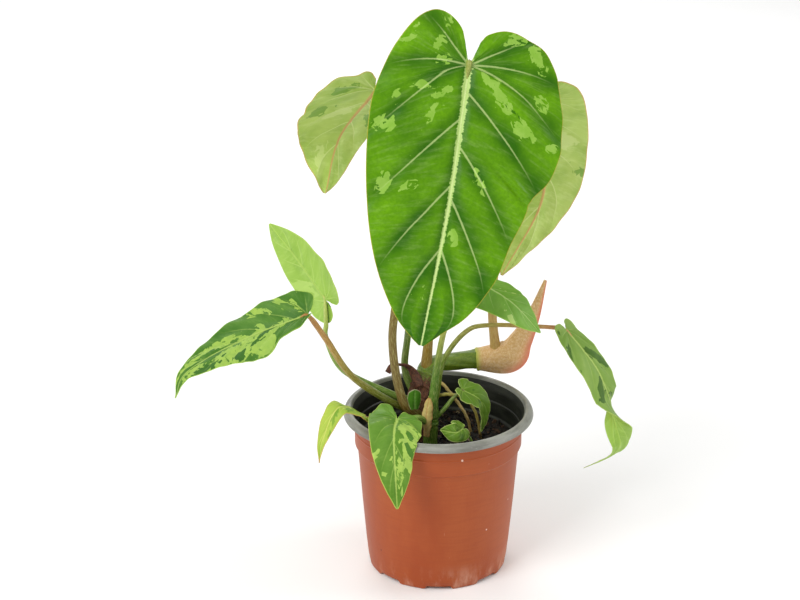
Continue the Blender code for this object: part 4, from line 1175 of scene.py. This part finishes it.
# Colours of each upper side: deep green, bright green, pale patch, vein, margin and dark patch
UPPER_TONES = {
    "large": ((46, 100, 4), (106, 164, 10), (144, 186, 76), (208, 228, 150), (190, 176, 60)),
    "grey": ((64, 112, 34), (112, 154, 68), (158, 190, 82), (170, 196, 100), (176, 206, 90), (44, 94, 26)),
    "front": ((88, 132, 40), (124, 164, 70), (170, 200, 92), (176, 202, 100), (190, 210, 96), (66, 116, 34)),
    "plain": ((112, 162, 58), (144, 188, 86), (184, 210, 120), (182, 210, 128), (176, 208, 90)),
    "light": ((122, 156, 70), (158, 184, 98), (190, 208, 116), (176, 200, 108), (180, 202, 104),
              (52, 94, 30)),
    "speckled": ((92, 128, 36), (134, 166, 62), (178, 202, 110), (168, 194, 98), (196, 212, 126),
                 (56, 96, 26)),
    "mottled": ((46, 98, 12), (96, 146, 34), (170, 200, 96), (184, 210, 116), (196, 200, 96)),
    "yellow": ((154, 182, 66), (200, 210, 98), (222, 214, 126), (206, 212, 112), (214, 170, 100),
               (104, 150, 44)),
    "bract": ((76, 128, 36), (112, 164, 66), (200, 214, 150), (124, 170, 80), (210, 200, 164)),
}
# Colours of each underside: ground, shade, vein, margin and patch
UNDER_TONES = {
    "underside": ((184, 208, 104), (158, 188, 80), (206, 222, 140), (210, 172, 104), (112, 158, 52)),
    "underside_green": ((150, 186, 76), (134, 172, 62), (172, 202, 100), (168, 200, 90), (110, 152, 58)),
    "underside_pale": ((160, 190, 92), (142, 176, 74), (186, 210, 122), (196, 214, 124), (110, 152, 56)),
    "tan": ((208, 182, 112), (180, 162, 90), (224, 206, 146), (196, 148, 90), (150, 150, 62)),
}
LARGE_LEAF = dict(gloss=0.34, vein_show=0.5)


def leaf_materials():
    """The blades' sides by name."""
    made = {}
    for name, colours in UPPER_TONES.items():
        settings = LARGE_LEAF if name == "large" else {}
        made[name] = leaf_upper("leaf_" + name, *[tone(*colour) for colour in colours], **settings)
    for name, colours in UNDER_TONES.items():
        made[name] = leaf_under("leaf_" + name, *[tone(*colour) for colour in colours])
    return made


def make_blades():
    """Every blade with its two sides' materials."""
    materials = leaf_materials()
    for name, spec in BLADES.items():
        look = LOOKS[name]
        upper, under = materials[look["upper"]], materials[look.get("under", "underside_pale")]
        piece = make_blade(name + "_detailed", spec, look, upper, under)
        stand_for(piece, name)


def sheath_fields(share, turn):
    """Where the cataphyll's keel shows salmon, and the green that is left at its base ring and heel."""
    around = turn_from(turn, SHEATH_KEEL)
    keel = bell(around, 0.6) * smoothstep(share, 0.15, 0.3)
    tint = np.maximum(bell(share, 0.03), 0.7 * bell(around - 0.6, 0.5) * bell(share - 0.22, 0.05))
    return {"keel": keel, "tint": tint}


def plain_fields(share, turn):
    """No keel and no green on the dried sheath."""
    return {"keel": 0 * share, "tint": 0 * share}


def make_stalks():
    """Every stem, stalk, sheath and root."""
    stem = stem_material()
    sheath = papery_material("cataphyll", tone(226, 180, 116), tone(242, 208, 160), tone(208, 144, 86),
                             tone(222, 118, 84), tone(196, 200, 88))
    dried = papery_material("dried_sheath", tone(66, 26, 10), tone(122, 70, 44), tone(36, 12, 4),
                            tone(90, 50, 30), tone(90, 50, 30), roughness=0.6)
    reliefs = {"main_stem": stem_relief, "cataphyll": sheath_relief, "dried_cataphyll": dried_relief,
               "aerial_root_arched": root_relief, "aerial_root_straight": root_relief}
    for name, spec in TUBES.items():
        if name in STALK_COLOURS:
            material = stalk_material(name, *[tone(*colour) for colour in STALK_COLOURS[name]])
        else:
            material = {"main_stem": stem, "cataphyll": sheath, "dried_cataphyll": dried}[name]
        fields = {"cataphyll": sheath_fields, "dried_cataphyll": plain_fields}.get(name)
        grid = FINE_TUBE if max(spec["radii"]) > THICK_TUBE else PLAIN_TUBE
        relief = reliefs.get(name, stalk_relief)
        piece = make_tube(name + "_detailed", spec, material, grid, relief, fields)
        stand_for(piece, name)


# ---------------------------------------------------------------- camera, floor and light
def make_camera():
    data = bpy.data.cameras.new("camera")
    data.lens = CAMERA_LENS
    camera = bpy.data.objects.new("camera", data)
    camera.location = CAMERA_PLACE
    camera.rotation_euler = (math.radians(CAMERA_TILT), 0.0, 0.0)
    bpy.context.scene.collection.objects.link(camera)
    bpy.context.scene.camera = camera


def make_floor():
    m = Material("floor")
    cloud = m.noise(m.place(), 3.0, 2.0)
    material = m.finish(m.mix(cloud, (0.93, 0.93, 0.92, 1.0), (0.96, 0.96, 0.955, 1.0)), 0.9)
    half = FLOOR_HALF
    corners = [(-half, -half, 0), (half, -half, 0), (half, half, 0), (-half, half, 0)]
    build("floor", corners, [(0, 1, 2, 3)], [material], smooth=False)


def area_light(name, place, aim, size, watts, colour=(1.0, 1.0, 1.0)):
    data = bpy.data.lights.new(name, "AREA")
    data.energy = watts
    data.size = size
    data.color = colour
    light = bpy.data.objects.new(name, data)
    light.location = place
    direction = np.array(aim) - np.array(place)
    yaw = math.atan2(direction[1], direction[0]) - math.pi / 2
    pitch = math.atan2(direction[2], math.hypot(direction[0], direction[1]))
    light.rotation_euler = (math.pi / 2 + pitch, 0.0, yaw)
    bpy.context.scene.collection.objects.link(light)


def make_light():
    world = bpy.data.worlds.new("studio")
    world.use_nodes = True
    world.node_tree.nodes["Background"].inputs["Color"].default_value = (1.0, 1.0, 1.0, 1.0)
    world.node_tree.nodes["Background"].inputs["Strength"].default_value = SKY_STRENGTH
    bpy.context.scene.world = world
    area_light("key", (-1.3, -1.3, 1.7), (0, 0, 0.15), 1.2, 34)
    area_light("side", (1.7, 0.2, 0.9), (0, 0, 0.12), 0.8, 10)
    area_light("back", (-0.3, 1.6, 1.3), (0, 0, 0.2), 1.2, 12)


bpy.context.scene.view_settings.view_transform = "Standard"
make_camera()
make_pot()
make_soil()
make_blades()
make_stalks()
make_floor()
make_light()
